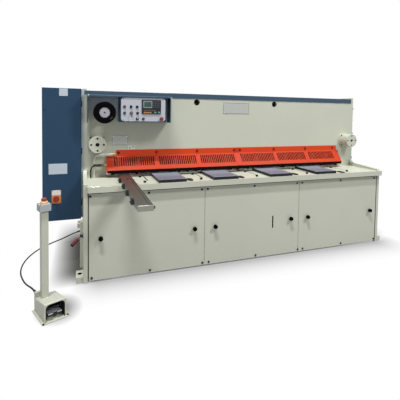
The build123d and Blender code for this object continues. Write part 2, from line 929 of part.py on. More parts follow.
with BuildPart() as stops:
    with BuildSketch(Plane.XY.offset(table_top + 4)):
        with Locations(*[(arm_left - stop_pad_w / 2, arm_rear - y) for y in stop_pad_at]):
            Rectangle(stop_pad_w, stop_pad_l)
    extrude(amount=arm_t + 2)
save(stops, "arm_stops")

# ---- oil pipe from the table to the guard, with its nuts
pipe_x = -inner + pipe_inset
pipe_y = upper_front - pipe_out
pipe_z = table_top + pipe_lift
nut_len = 40
pipe_end = guard_seam_x[0] + guard_notch - nut_len
pipe_at = [
    (pipe_x, pipe_y, table_top),
    (pipe_x, pipe_y, pipe_z - 62),
    (pipe_x + 14, pipe_y, pipe_z - 14),
    (pipe_x + 62, pipe_y, pipe_z),
    (pipe_end, pipe_y, pipe_z),
]
with BuildPart() as pipe:
    with BuildLine():
        FilletPolyline(*pipe_at, radius=38)
    with BuildSketch(Plane(pipe_at[0], z_dir=(0, 0, 1))):
        Circle(pipe_d / 2)
    sweep()
save(pipe, "oil_pipe")

# ---- short hose from the table to the guard's foot
hose_x = -inner + hose_inset
hose_y = guard_toe_y + hose_out
hose_z = table_top + hose_lift
fitting_len = 60
hose_end = guard_seam_x[0] + guard_gap / 2 - bracket_t - fitting_len
hose_at = [
    (hose_x, hose_y, table_top),
    (hose_x, hose_y, hose_z - 52),
    (hose_x + 12, hose_y, hose_z - 12),
    (hose_x + 52, hose_y, hose_z),
    (hose_end, hose_y, hose_z),
]
with BuildPart() as hose:
    with BuildLine():
        FilletPolyline(*hose_at, radius=32)
    with BuildSketch(Plane(hose_at[0], z_dir=(0, 0, 1))):
        Circle(hose_d / 2)
    sweep()
save(hose, "guard_hose")

# ---- nuts, clip and fitting at the ends of the pipe and the hose
with BuildPart() as fittings:
    with BuildSketch(Plane.YZ.offset(pipe_end)):
        with Locations((pipe_y, pipe_z)):
            RegularPolygon(16, 6)
    extrude(amount=18)
    with BuildSketch(Plane.YZ.offset(pipe_end + 18)):
        with Locations((pipe_y, pipe_z)):
            Circle(9)
    extrude(amount=nut_len - 18)
    with BuildSketch(Plane.YZ.offset(pipe_end + 24)):
        with Locations(((pipe_y + upper_front) / 2, pipe_z)):
            Rectangle(pipe_out, 14)
    extrude(amount=12)
    with BuildSketch(Plane.YZ.offset(hose_end)):
        with Locations((hose_y, hose_z)):
            RegularPolygon(14, 6)
    extrude(amount=fitting_len / 2)
    with BuildSketch(Plane.YZ.offset(hose_end + fitting_len / 2)):
        with Locations((hose_y, hose_z)):
            Circle(9)
    extrude(amount=fitting_len / 2)
save(fittings, "pipe_fittings")

# ---- hand lever on the left side frame
lever_x = -outer - lever_out
with BuildPart() as lever_bracket:
    with BuildSketch(Plane.YZ.offset(-outer)):
        with Locations((lever_y, lever_z)):
            Circle(24)
    extrude(amount=-8)
    with BuildSketch(Plane.XZ.offset(-lever_y - 14)):
        with Locations((lever_x, lever_z)):
            Circle(5)
    extrude(amount=28)
    for dy in (14, -8):
        with BuildSketch(Plane.XZ.offset(-lever_y + dy)):
            with Locations(((lever_x - 10 - outer) / 2, lever_z)):
                Rectangle(lever_out + 10, 20)
        extrude(amount=-6)
save(lever_bracket, "lever_bracket")

along = (-cos(radians(lever_drop)), 0, -sin(radians(lever_drop)))
root = (lever_x + along[0] * 8, lever_y, lever_z + along[2] * 8)
grip = (root[0] + along[0] * (lever_len - 60), lever_y, root[2] + along[2] * (lever_len - 60))
with BuildPart() as lever:
    with BuildSketch(Plane.XZ.offset(-lever_y)):
        with Locations((lever_x, lever_z)):
            Circle(9)
            Circle(5 + play, mode=Mode.SUBTRACT)
    extrude(amount=6.5, both=True)
    with BuildSketch(Plane(root, z_dir=along)):
        Circle(5)
    extrude(amount=lever_len)
    with BuildSketch(Plane(grip, z_dir=along)):
        Circle(9)
    extrude(amount=62)
save(lever, "hand_lever")

# ---- foot control: base plate
with BuildPart() as pedestal_base:
    with BuildSketch(pedestal_plane(0)):
        Rectangle(base_w, base_l)
    extrude(amount=base_t)
save(pedestal_base, "pedestal_base")

# ---- pedal housing with a sloping top, an arched mouth and a box for the cable gland
housing_top = ((-housing_l / 2, housing_front_h), (housing_l / 2, housing_back_h))
housing_fall = (housing_front_h - housing_back_h) / housing_l
housing_left = housing_shift - housing_w / 2
side_plane = Plane((*turned(housing_left, 0), base_t), x_dir=(-ps, pc, 0), z_dir=(pc, ps, 0))
mouth_y = -housing_l / 2
box_at = (housing_left + gland_box_w / 2, (housing_l - gland_box_l) / 2)
with BuildPart() as mouth:
    with BuildSketch(side_plane.offset((housing_w - mouth_w) / 2)):
        with BuildLine():
            Polyline(
                (mouth_y, 0),
                (mouth_y, mouth_h),
                (mouth_y + mouth_depth, mouth_h - housing_fall * mouth_depth),
                (mouth_y + mouth_depth, 0),
                close=True,
            )
        make_face()
    extrude(amount=mouth_w)
    fillet(mouth.edges().group_by(Axis.Z)[-2], mouth_r)

with BuildPart() as housing:
    with BuildSketch(side_plane):
        with BuildLine():
            Polyline((-housing_l / 2, 0), *housing_top, (housing_l / 2, 0), close=True)
        make_face()
    extrude(amount=housing_w)
    top_edges = housing.edges().group_by(Axis.Z)
    fillet(top_edges[-1] + top_edges[-2], housing_round)
    with BuildSketch(pedestal_plane(base_t)):
        with Locations(box_at):
            Rectangle(gland_box_w, gland_box_l)
    extrude(amount=gland_box_h)
    add(mouth.part, mode=Mode.SUBTRACT)
save(housing, "pedal_housing")

# ---- column on the housing's top, head and emergency stop
column_plane = Plane((*turned(column_x - column_w / 2, 0), base_t), x_dir=(-ps, pc, 0), z_dir=(pc, ps, 0))
column_side = []
for y in (column_y - column_w / 2, column_y + column_w / 2):
    column_side.append((y, housing_front_h - housing_fall * (y + housing_l / 2)))
with BuildPart() as column:
    with BuildSketch(column_plane):
        with BuildLine():
            Polyline(
                column_side[0],
                (column_side[0][0], column_top - base_t),
                (column_side[1][0], column_top - base_t),
                column_side[1],
                close=True,
            )
        make_face()
    extrude(amount=column_w)
save(column, "pedestal_column")

with BuildPart() as head:
    with BuildSketch(pedestal_plane(column_top)):
        with Locations((column_x, column_y)):
            Rectangle(head_w, head_l)
    extrude(amount=head_h)
    fillet(head.edges().filter_by(Axis.Z), 6)
save(head, "pedestal_head")

head_top = column_top + head_h
with BuildPart() as head_collar:
    with BuildSketch(pedestal_plane(head_top)):
        with Locations((column_x, column_y)):
            Circle(head_collar_d / 2)
            Circle(stem_d / 2 + play, mode=Mode.SUBTRACT)
    extrude(amount=head_collar_h)
    chamfer(head_collar.edges().group_by(Axis.Z)[-1].sort_by(SortBy.LENGTH)[-1], 5)
save(head_collar, "pedestal_stop_collar")

head_cap = head_top + head_collar_h + stop_travel + play
with BuildPart() as head_stop:
    with BuildSketch(pedestal_plane(head_cap)):
        with Locations((column_x, column_y)):
            Circle(stop_d / 2)
    extrude(amount=stop_h + 4)
    fillet(head_stop.edges().group_by(Axis.Z)[-1], 7)
    with BuildSketch(pedestal_plane(head_cap - head_collar_h)):
        with Locations((column_x, column_y)):
            Circle(stem_d / 2)
    extrude(amount=head_collar_h)
save(head_stop, "pedestal_stop_button")

# ---- pedal on a pin between the housing's walls
pin_y = mouth_y + pin_back
pin_z = base_t + pedal_z
pin_plane = Plane((*turned(housing_shift - mouth_w / 2, pin_y), pin_z), z_dir=(pc, ps, 0))
with BuildPart() as pedal_pin:
    with BuildSketch(pin_plane):
        Circle(pin_d / 2)
    extrude(amount=mouth_w)
save(pedal_pin, "pedal_pin")

with BuildPart() as pedal:
    with BuildSketch(pedestal_plane(pin_z - pedal_t / 2)):
        with Locations((housing_shift, pin_y - pedal_l / 2)):
            Rectangle(pedal_w, pedal_l)
    extrude(amount=pedal_t)
    with BuildSketch(pin_plane.offset((mouth_w - pedal_w) / 2)):
        Circle(pin_d / 2 + 4)
    extrude(amount=pedal_w)
    with BuildSketch(pin_plane):
        Circle(pin_d / 2 + play)
    extrude(amount=mouth_w, mode=Mode.SUBTRACT)
save(pedal, "foot_pedal")

# ---- bare plates on the front plate and the cabinet door
with BuildPart() as plates:
    with BuildSketch(Plane.XZ.offset(-upper_front)):
        for x, z, w, h in plate_at:
            with Locations((x, z)):
                Rectangle(w, h)
    extrude(amount=plate_sheet)
save(plates, "blank_plates")

# ---- cable with its glands, from the side frame over the floor to the foot control
end_y = housing_l / 2
gland_foot = turned(box_at[0], end_y)
gland_tip = turned(box_at[0], end_y + gland_len)
gland_run = turned(box_at[0], end_y + gland_len + 85)
with BuildPart() as glands:
    with BuildSketch(Plane.YZ.offset(-outer)):
        with Locations((gland_y, gland_z)):
            Circle(gland_d / 2)
    extrude(amount=-gland_len)
    with BuildSketch(Plane((*gland_foot, end_gland_z), z_dir=(-ps, pc, 0))):
        Circle(gland_d / 2)
    extrude(amount=gland_len)
save(glands, "cable_glands")

cable_at = [
    (-outer - gland_len, gland_y, gland_z),
    (-outer - gland_len - 77, gland_y, gland_z),
    (-2005, 400, 38),
    (-2080, 343, 16),
    (-2165, 277, cable_floor),
    (-2275, 156, cable_floor),
    (-2365, 4, cable_floor),
    (-2421, -172, cable_floor),
    (-2444, -347, cable_floor),
    (-2432, -530, cable_floor + 1),
    (-2387, -700, 20),
    (-2342, -868, 56),
    (-2297, -1021, 102),
    (*gland_run, end_gland_z),
    (*gland_tip, end_gland_z),
]
runs = [(Vector(*b) - Vector(*a)) for a, b in zip(cable_at, cable_at[1:])]
cable_r = []
for first_run, next_run in zip(runs, runs[1:]):
    half = radians(first_run.get_angle(next_run)) / 2
    cable_r.append(0.45 * min(first_run.length, next_run.length) / tan(half))
print("cable runs", [round(r.length) for r in runs])
print("cable radii", [round(r) for r in cable_r])
with BuildPart() as cable:
    with BuildLine() as cable_line:
        FilletPolyline(*cable_at, radius=cable_r)
    with BuildSketch(Plane(cable_at[0], z_dir=(-1, 0, 0))):
        Circle(cable_d / 2)
    sweep()
cable_length = cable_line.wires()[0].length
cable_share = cable.part.volume / (cable_length * pi * cable_d**2 / 4)
print("cable length", round(cable_length), "volume share", round(cable_share, 3))
save(cable, "foot_control_cable")
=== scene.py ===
# %% [markdown]
# # A hydraulic shearing machine
# The solids of the machine come ready made, in metres. Here they get their paint, steel and
# plastic, and the small things that nobody cuts from solid in a drawing office: screws, keys,
# lamps, trims, ribs, a cable. Everything is placed in the same frame as the solids, with +Z up
# and the front facing -Y, so nothing has to be fitted afterwards.

import bmesh
import bpy
from math import cos, pi, radians, sin, tau
from mathutils import Matrix, Vector


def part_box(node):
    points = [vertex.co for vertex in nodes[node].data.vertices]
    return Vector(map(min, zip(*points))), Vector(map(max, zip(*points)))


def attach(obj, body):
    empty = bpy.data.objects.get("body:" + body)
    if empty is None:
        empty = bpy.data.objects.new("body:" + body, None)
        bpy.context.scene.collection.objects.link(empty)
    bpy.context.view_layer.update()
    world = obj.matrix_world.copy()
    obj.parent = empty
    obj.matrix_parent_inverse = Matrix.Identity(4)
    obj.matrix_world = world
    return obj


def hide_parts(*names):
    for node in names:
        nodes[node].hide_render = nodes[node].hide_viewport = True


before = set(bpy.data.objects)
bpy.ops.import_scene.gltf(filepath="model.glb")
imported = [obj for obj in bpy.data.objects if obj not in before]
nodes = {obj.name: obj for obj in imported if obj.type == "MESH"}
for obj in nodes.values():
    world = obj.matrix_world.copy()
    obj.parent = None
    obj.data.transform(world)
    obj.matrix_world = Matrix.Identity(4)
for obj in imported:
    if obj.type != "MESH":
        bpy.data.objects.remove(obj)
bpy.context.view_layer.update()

# %% [markdown]
# ## Camera
# The camera stands left of the middle at eye height and looks a little to the right and down.
# Its place and lens were solved from corners of the machine. The photograph was cropped, so
# the middle of the lens isn't the middle of the picture. A lens shift says the same to Blender.

# %% Camera
camera_data = bpy.data.cameras.new("camera")
camera = bpy.data.objects.new("camera", camera_data)
bpy.context.scene.collection.objects.link(camera)
bpy.context.scene.camera = camera
eye = (-1.8582, -4.3149, 1.6584)
yaw, pitch, roll = radians(19.52), radians(-2.48), radians(0.84)
forward = Vector((sin(yaw) * cos(pitch), cos(yaw) * cos(pitch), sin(pitch)))
level = Vector((cos(yaw), -sin(yaw), 0))
upright = level.cross(forward)
across = level * cos(roll) + upright * sin(roll)
top = upright * cos(roll) - level * sin(roll)
turn = Matrix((across, top, -forward)).transposed().to_4x4()
camera.matrix_world = Matrix.Translation(eye) @ turn
sensor, picture_wide, focal_length = 36, 400, 340.2  # mm, then picture points
camera_data.sensor_width = sensor
camera_data.lens = focal_length * sensor / picture_wide
camera_data.shift_x = -0.00175
camera_data.shift_y = -0.18075
camera_data.clip_end = 200
print("lens", round(camera_data.lens, 1), "mm")

# %% [markdown]
# ## Shader maths
# A finish is a few dozen nodes. Written out one by one they hide what they do, so a small
# class wraps a socket and lets Python's own operators add the Math nodes: `1 - mask * 0.3`
# reads like what it is.

# %% Values
class Value:
    """A socket that takes part in sums."""

    def __init__(self, finish, socket):
        self.finish = finish
        self.socket = socket

    def math(self, operation, first, second):
        settings = {"operation": operation}
        return self.finish.node("ShaderNodeMath", settings, {0: first, 1: second})

    def __add__(self, other):
        return self.math("ADD", self, other)

    def __radd__(self, other):
        return self.math("ADD", other, self)

    def __sub__(self, other):
        return self.math("SUBTRACT", self, other)

    def __rsub__(self, other):
        return self.math("SUBTRACT", other, self)

    def __mul__(self, other):
        return self.math("MULTIPLY", self, other)

    def __rmul__(self, other):
        return self.math("MULTIPLY", other, self)

    def __gt__(self, other):
        return self.math("GREATER_THAN", self, other)


print("values add, subtract, multiply and compare")

# %% [markdown]
# ## Finishes
# A finish is a material with the few moves that every paint, steel and plastic here is made
# of: a place on the piece, a noise, a ramp, a mix of two colours and a bump. One method makes
# any node, settings first and sockets after, and the moves are built on it. Colours are given
# as a picture shows them and made linear for the shader.

# %% Finishes
def colour(red, green, blue):
    """A colour as a picture shows it, 0 to 255, made linear."""
    parts = [c / 255 for c in (red, green, blue)]
    linear = [c / 12.92 if c < 0.04045 else ((c + 0.055) / 1.055) ** 2.4 for c in parts]
    return (*linear, 1.0)


class Finish:
    """A material whose shader is fed by values."""

    def __init__(self, name, base, roughness=0.5, metallic=0.0, **sockets):
        self.material = bpy.data.materials.new(name)
        self.material.use_nodes = True
        self.tree = self.material.node_tree
        self.shader = self.tree.nodes["Principled BSDF"]
        self.feed("Base Color", base)
        self.feed("Roughness", roughness)
        self.feed("Metallic", metallic)
        for socket, value in sockets.items():
            self.feed(socket.replace("_", " "), value)

    def put(self, socket, value):
        if isinstance(value, Value):
            self.tree.links.new(value.socket, socket)
        else:
            socket.default_value = value

    def feed(self, name, value):
        self.put(self.shader.inputs[name], value)

    def fed(self, name):
        """What a socket gets so far, to be mixed with something more."""
        return Value(self, self.shader.inputs[name].links[0].from_socket)

    def node(self, kind, settings, sockets, out=0):
        made = self.tree.nodes.new(kind)
        for name, value in settings.items():
            setattr(made, name, value)
        for name, value in sockets.items():
            self.put(made.inputs[name], value)
        return Value(self, made.outputs[out])

    def place(self, scale=(1, 1, 1), shift=(0, 0, 0)):
        where = self.node("ShaderNodeTexCoord", {}, {}, "Object")
        sockets = {"Vector": where, "Location": shift, "Scale": scale}
        return self.node("ShaderNodeMapping", {}, sockets)

    def axis(self, name, source="Object"):
        """One part of the place, or of the way the surface looks."""
        where = self.node("ShaderNodeTexCoord", {}, {}, source)
        return self.node("ShaderNodeSeparateXYZ", {}, {0: where}, name)

    def length(self, vector):
        settings = {"operation": "LENGTH"}
        return self.node("ShaderNodeVectorMath", settings, {0: vector}, "Value")

    def noise(self, scale, detail=2.0, stretch=(1, 1, 1), rough=0.5):
        sockets = {"Vector": self.place(stretch), "Scale": scale, "Detail": detail,
                   "Roughness": rough}
        return self.node("ShaderNodeTexNoise", {}, sockets)

    def ramp(self, value, low, high):
        """0 below low, 1 above high, and even between."""
        return self.node("ShaderNodeMapRange", {}, {0: value, 1: low, 2: high})

    def mix(self, share, first, second):
        """The first colour where share is 0, the second where it is 1."""
        settings = {"data_type": "RGBA"}
        return self.node("ShaderNodeMix", settings, {0: share, 6: first, 7: second}, 2)

    def bump(self, height, distance):
        sockets = {"Height": height, "Distance": distance, "Strength": 1.0}
        self.feed("Normal", self.node("ShaderNodeBump", {}, sockets))


def darker(shade, share):
    return tuple(c * share for c in shade[:3]) + (1.0,)


print("shader helpers ready")

# %% [markdown]
# ## Enamel
# The body, the covers, the cabinet and the guard are sprayed with machine enamel. Such paint
# isn't one even colour. It has a faint orange peel from the spray gun, a slow drift in tone
# over a big panel, and a little dust low down. Four noises of very different size do this: one
# as big as a panel for tone, one the size of a hand for gloss, one for the specks of dust, and
# one of 2 mm for the peel.

# %% Enamel
dusty, orange_peel = 0.12, 0.00006
dust_colour = colour(120, 112, 98)


def enamel(name, shade, roughness=0.4, drift=0.05, gloss=0.35):
    paint = Finish(name, shade, Specular_IOR_Level=gloss)
    slow = paint.noise(1.3, 3.0)
    hand = paint.noise(14.0, 3.0)
    tone = paint.ramp(slow, 0.3, 0.7) * 0.7 + hand * 0.3
    near_floor = 1 - paint.ramp(paint.axis("Z"), 0.0, 0.35)
    specks = paint.ramp(paint.noise(55.0, 4.0, rough=0.7), 0.48, 0.7)
    body = paint.mix(tone, darker(shade, 1 - drift), darker(shade, 1 + drift * 0.5))
    grime = near_floor * specks * dusty
    paint.feed("Base Color", paint.mix(grime, body, dust_colour))
    paint.feed("Roughness", hand * 0.14 + (roughness - 0.07) + grime * 0.5)
    paint.bump(paint.noise(420.0, 1.0), orange_peel)
    return paint


cream_shade = colour(193, 196, 180)
cream = enamel("cream_enamel", cream_shade)
blue = enamel("blue_enamel", colour(41, 68, 93), 0.45, 0.10, gloss=0.15)
# painted reflection: the canopy's blue is paler than the cabinet's, for the sheen it shows
hood_blue_painted_sheen = enamel("hood_painted_sheen_enamel", colour(60, 81, 100), 0.42, 0.08, gloss=0.2)
orange = enamel("orange_enamel", colour(196, 56, 27), 0.42, 0.06, gloss=0.15)
pale_pipe = enamel("pipe_enamel", colour(222, 224, 208), 0.4, 0.05)
print("enamels", [f.material.name for f in (cream, blue, hood_blue_painted_sheen, orange, pale_pipe)])

# %% [markdown]
# ## The guard's paint
# The guard has the same orange. The walls of its slots are painted dark: painted shade for the
# shadow inside the slots. They are the only faces that look along the machine, so the X part of
# the surface's own direction picks them out. The upright flange above the fold is painted
# brighter than the slope: painted light on the upright face.

# %% Guard paint
guard_fold = 1.165
guard_orange = enamel("guard_enamel", colour(188, 57, 23), 0.42, 0.06, gloss=0.15)
along_machine = guard_orange.axis("X", "Normal")
# painted shade: the slot walls are painted dark for the shadow inside the slots
slot_walls_painted_shade = guard_orange.node("ShaderNodeMath", {"operation": "ABSOLUTE"}, {0: along_machine}) > 0.7
flange = guard_orange.ramp(guard_orange.axis("Z"), guard_fold - 0.003, guard_fold + 0.003)
# painted light: the upright flange is painted brighter than the sloping face
flange_painted_light = guard_orange.mix(flange * 0.6, guard_orange.fed("Base Color"), colour(222, 74, 36))
guard_orange.feed("Base Color", guard_orange.mix(slot_walls_painted_shade, flange_painted_light, colour(72, 20, 12)))
print("guard paint ready")

# %% [markdown]
# ## Bare metal
# Ground steel is a mirror that has been scratched in one direction. The scratches are a noise
# stretched some sixty times along the grain, and it feeds both the roughness and a tiny bump.
# One helper makes every metal. Its numbers say how rough and how stained it is, and a grain
# that is alike in all directions stands for satin, cast or blackened pieces.

# %% Metals
satin = (20, 20, 20)


def ground(name, shade, roughness, along=(1, 60, 60), depth=0.00002, stain=0.2,
           metallic=1.0):
    metal = Finish(name, shade, metallic=metallic)
    lines = metal.noise(9.0, 5.0, along, 0.65)
    patches = metal.ramp(metal.noise(7.0, 4.0, rough=0.6), 0.35, 0.75)
    dull = patches * stain + lines * 0.25
    metal.feed("Base Color", metal.mix(dull, shade, darker(shade, 0.62)))
    metal.feed("Roughness", lines * 0.22 + patches * 0.1 + (roughness - 0.12))
    metal.bump(lines, depth)
    return metal


arm_steel = ground("ground_arm_steel", colour(140, 143, 134), 0.36, (60, 1, 60))
pad_steel = ground("polished_pad_steel", colour(126, 142, 162), 0.40, (60, 2, 60), stain=0.45,
                   metallic=0.5)
blade_steel = ground("blade_steel", colour(190, 190, 192), 0.3)
edge_steel = ground("bright_edge", colour(214, 214, 206), 0.34, (1, 40, 40), 0.00001)
dark_steel = ground("blackened_steel", colour(62, 62, 64), 0.45, (8, 8, 8), 0.00003)
chrome = ground("satin_chrome", colour(214, 214, 218), 0.2, satin, 0.000005, 0.06)
plunger_steel = ground("oiled_plunger_steel", colour(150, 140, 128), 0.45, satin, 0.000005,
                       0.3, 0.6)
brass = ground("brass", colour(168, 148, 98), 0.42, (12, 12, 12), 0.00001)
key_metal = ground("key_metal", colour(112, 108, 122), 0.5, satin, 0.00001, 0.1, 0.7)
cast_pedal = ground("cast_aluminium", colour(150, 153, 156), 0.6, (6, 6, 6), 0.00006, 0.2, 0.3)
plate_metal = ground("bare_plate", colour(178, 180, 174), 0.5, (1, 90, 90), 0.00001, 0.06, 0.3)
print("metals ready")

# %% [markdown]
# ## Metals with two shades
# The handwheel's dial and its dark knob are one solid, so the distance from the axle tells
# them apart. The pads' colour holds painted reflections: faces that don't look up are painted
# near black, a painted reflection of the dark hood, and the tops are painted paler toward the
# blades, a painted reflection of the guard. The faces are picked by direction and the pale part
# by place.

# %% Dial and pads
wheel_x, wheel_y, wheel_z = -1.620, -0.668, 1.648
knob_starts, knob_shade = 0.07, colour(44, 44, 50)
dial_metal = ground("dial_metal", colour(160, 157, 166), 0.5, satin, 0.00001, 0.1, 0.6)
from_axle = dial_metal.length(dial_metal.place((1, 0, 1), (-wheel_x, 0, -wheel_z)))
dial_shade = dial_metal.mix(from_axle > knob_starts, dial_metal.fed("Base Color"), knob_shade)
dial_metal.feed("Base Color", dial_shade)

# painted reflection: pad sides painted near black, pad tops painted pale toward the blades
pad_sides_painted_reflection, guard_painted_reflection = (0.012, 0.013, 0.02, 1), colour(186, 200, 212)
toward_blades = pad_steel.ramp(pad_steel.axis("Y"), -0.84, -0.60)
pad_tops_painted_reflection = pad_steel.mix(toward_blades * 0.6, pad_steel.fed("Base Color"), guard_painted_reflection)
looks_up = pad_steel.axis("Z", "Normal") > 0.6
pad_steel.feed("Base Color", pad_steel.mix(looks_up, pad_sides_painted_reflection, pad_tops_painted_reflection))
print("dial and pads ready")

# %% [markdown]
# ## Plastic and rubber
# Moulded plastic has a fine leather-like grain. It breaks up the highlight, which is what
# tells the eye that a black knob is plastic and not paint. Rubber is the same with less gloss.

# %% Plastics
fine = 0.00002


def moulded(name, shade, roughness=0.45, grain=0.00006, size=900.0, gloss=0.35):
    plastic = Finish(name, shade, Specular_IOR_Level=gloss)
    cells = plastic.node("ShaderNodeTexVoronoi", {}, {"Vector": plastic.place(), "Scale": size})
    wear = plastic.noise(30.0, 3.0)
    plastic.feed("Base Color", plastic.mix(wear * 0.25, shade, darker(shade, 0.75)))
    plastic.feed("Roughness", wear * 0.2 + (roughness - 0.1))
    plastic.bump(cells, grain)
    return plastic


black = moulded("black_plastic", colour(13, 13, 15), gloss=0.25)
wheel_black = moulded("wheel_bakelite", colour(5, 5, 8), 0.6, fine, 300.0, 0.03)
red = moulded("red_plastic", colour(152, 46, 36), 0.35, fine)
worn_red = moulded("worn_red_stop", colour(150, 68, 50), 0.4, fine)
maroon = moulded("dark_red_cap", colour(98, 44, 58), 0.35, fine)
dull_red = moulded("dull_red_stop", colour(124, 46, 46), 0.4, fine)
green = moulded("green_plastic", colour(30, 72, 72), 0.35, fine)
teal = moulded("teal_key", colour(92, 158, 146), 0.4, fine)
yellow = moulded("yellow_plastic", colour(206, 134, 64), 0.4, fine)
pale_yellow = moulded("faded_yellow", colour(226, 190, 146), 0.4, fine)
pale_plate = moulded("pale_plate", colour(190, 202, 212), 0.4, 0.00003)
pale_strip = moulded("pale_packing", colour(184, 198, 202), 0.5, fine)
guard_foot_painted_shade = moulded("guard_foot_painted_shade", colour(20, 9, 9), 0.8, 0.0001, 400.0, 0.05)
gap_shade_grey = moulded("gap_painted_shade", colour(66, 66, 58), 0.7, 0.00004, 500.0, 0.15)
white = moulded("white_plastic", colour(226, 224, 216), 0.4, 0.00003)
grey = moulded("grey_housing", colour(170, 176, 176), 0.5, 0.00008, 500.0)
panel_white = moulded("panel_laminate", colour(187, 189, 199), 0.45, fine, 1500.0, 0.25)
rubber = moulded("rubber_sheath", colour(20, 20, 22), 0.6, 0.00005, 700.0, 0.1)
# This black is real black on some pieces and painted shade in grooves, slot, bores and mouth
black_and_painted_shade = moulded("black_plastic_and_painted_shade", colour(14, 14, 15), 0.7, 0.0001, 400.0)
print("plastics ready")

# %% [markdown]
# ## Paint the solids
# Every solid of the machine gets one of these finishes. Only its material slots change. Its
# mesh is left as it came, because the moving model is built from the same shape.

# %% Finishes of the solids
coats = {
    cream: ("side_frames", "anchor_feet", "bed_beam", "work_table", "upper_front_plate",
            "top_cover", "rear_plate", "front_covers", "rear_covers", "round_flanges",
            "side_duct", "pedestal_base", "pedestal_column", "pedal_housing", "wheel_bearing"),
    blue: ("control_box", "electrical_cabinet", "cabinet_door"),
    # painted reflection: the canopy and the top band get the paler blue
    hood_blue_painted_sheen: ("top_band", "control_hood"),
    orange: ("guard_brackets",),
    pale_pipe: ("oil_pipe",),
    guard_orange: ("finger_guard",),
    arm_steel: ("squaring_arm",),
    pad_steel: ("table_pads",),
    blade_steel: ("offcut_slide",),
    # painted shade: blade beam, hold-down rail and blades are dark for the shade seen through slots
    dark_steel: ("door_hinges", "arm_stops", "lever_bracket", "blade_beam", "hold_down_rail",
                 "blades", "slide_ways"),
    chrome: ("pedal_pin",),
    plunger_steel: ("hold_down_plungers",),
    key_metal: ("key_switch",),
    dull_red: ("stop_button",),
    black_and_painted_shade: ("display_unit",),
    dial_metal: ("wheel_dial_and_knob",),
    brass: ("pipe_fittings",),
    cast_pedal: ("foot_pedal",),
    black: ("push_buttons", "stop_collar", "selector_knob", "cable_glands"),
    wheel_black: ("handwheel", "cover_knobs"),
    red: ("main_switch_handle", "hand_lever"),
    worn_red: ("pedestal_stop_button",),
    yellow: ("main_switch_plate",),
    pale_yellow: ("pedestal_stop_collar",),
    grey: ("pedestal_head",),
    panel_white: ("control_panel",),
    plate_metal: ("blank_plates",),
    rubber: ("guard_hose", "foot_control_cable"),
}
for finish, names in coats.items():
    for name in names:
        slots = nodes[name].data.materials
        slots.clear()
        slots.append(finish.material)
dressed = {name for names in coats.values() for name in names}
print("left plain:", sorted(set(nodes) - dressed))

# %% [markdown]
# ## Blocks and posts
# New pieces are made with bmesh operators. Nearly all of them are blocks with rounded edges,
# round posts, or a profile spun as on a lathe. Blocks and posts start from the cube and the
# cone that Blender makes, and a bevel rounds a block's edges, since no real edge is sharp.

# %% Blocks and posts
def soften(mesh, edges, radius, cuts):
    bmesh.ops.bevel(mesh, geom=edges, offset=radius, offset_type="OFFSET", segments=cuts,
                    profile=0.5, affect="EDGES", material=-1)


def block(mesh, low, high, edge=0.0, cuts=2):
    """A block between two corners, with rounded edges."""
    size = [b - a for a, b in zip(low, high)]
    middle = [(a + b) / 2 for a, b in zip(low, high)]
    place = Matrix.Translation(middle) @ Matrix.Diagonal((*size, 1))
    made = bmesh.ops.create_cube(mesh, size=1.0, matrix=place)["verts"]
    if edge:
        soften(mesh, list({e for v in made for e in v.link_edges}), edge, cuts)


def slab(low, high, edge=0.0, cuts=2):
    """The same block as a shape of its own, to be stamped."""
    shape = bmesh.new()
    block(shape, low, high, edge, cuts)
    return shape


def posts(*parts):
    """Round posts about the Z axis: radius, low, high, sides and, if tapered, the top radius."""
    shape = bmesh.new()
    for radius, low, high, sides, *tip in parts:
        place = Matrix.Translation((0, 0, (low + high) / 2))
        bmesh.ops.create_cone(shape, cap_ends=True, cap_tris=False, segments=sides,
                              radius1=radius, radius2=tip[0] if tip else radius,
                              depth=high - low, matrix=place)
    return shape


print("shapes: block, slab, posts")

# %% [markdown]
# ## Lathe and stamp
# A round thing whose radius changes is drawn as half a profile and spun once round. The seam
# is merged, and the normals are set anew, because a profile drawn downwards comes out inside
# out. A shape is made once about the origin and stamped wherever it is needed, so forty screws
# cost one screw's work.

# %% Lathe and stamp
def lathe(profile, sides):
    """A profile of (radius, height) points, spun about the Z axis."""
    shape = bmesh.new()
    points = [shape.verts.new((r, 0, h)) for r, h in profile]
    lines = [shape.edges.new(pair) for pair in zip(points, points[1:])]
    bmesh.ops.spin(shape, geom=points + lines, cent=(0, 0, 0), axis=(0, 0, 1), angle=tau,
                   steps=sides, use_merge=True)
    bmesh.ops.remove_doubles(shape, verts=shape.verts, dist=1e-6)
    bmesh.ops.recalc_face_normals(shape, faces=shape.faces)
    return shape


def stamp(mesh, shape, places):
    """Copies a small shape into a piece at each place."""
    flat = bpy.data.meshes.new("stamp")
    shape.to_mesh(flat)
    shape.free()
    for place in places:
        copy = flat.copy()
        copy.transform(place)
        mesh.from_mesh(copy)
        bpy.data.meshes.remove(copy)
    bpy.data.meshes.remove(flat)


print("shapes: lathe, stamp")

# %% [markdown]
# ## Placing shapes
# A screw is made standing up. These four say where it goes and which way its head looks.

# %% Places
def front(x, y, z, turn=0.0):
    """A place whose Z axis looks out of the machine's front."""
    return upward(x, y, z) @ Matrix.Rotation(pi / 2, 4, "X") @ Matrix.Rotation(turn, 4, "Z")


def back(x, y, z):
    return upward(x, y, z) @ Matrix.Rotation(-pi / 2, 4, "X")


def side(x, y, z, left=True):
    """A place whose Z axis looks out to the left or the right."""
    return upward(x, y, z) @ Matrix.Rotation(-pi / 2 if left else pi / 2, 4, "Y")


def upward(x, y, z):
    return Matrix.Translation((x, y, z))


print("places: front, back, side, upward")

# %% [markdown]
# ## Finishing a piece
# A finished piece keeps its place in its mesh and rides on one of the machine's bodies. Faces
# are shaded smooth, and edges that turn by more than the angle given here stay crisp.

# %% Pieces
sharp_edge = radians(32)


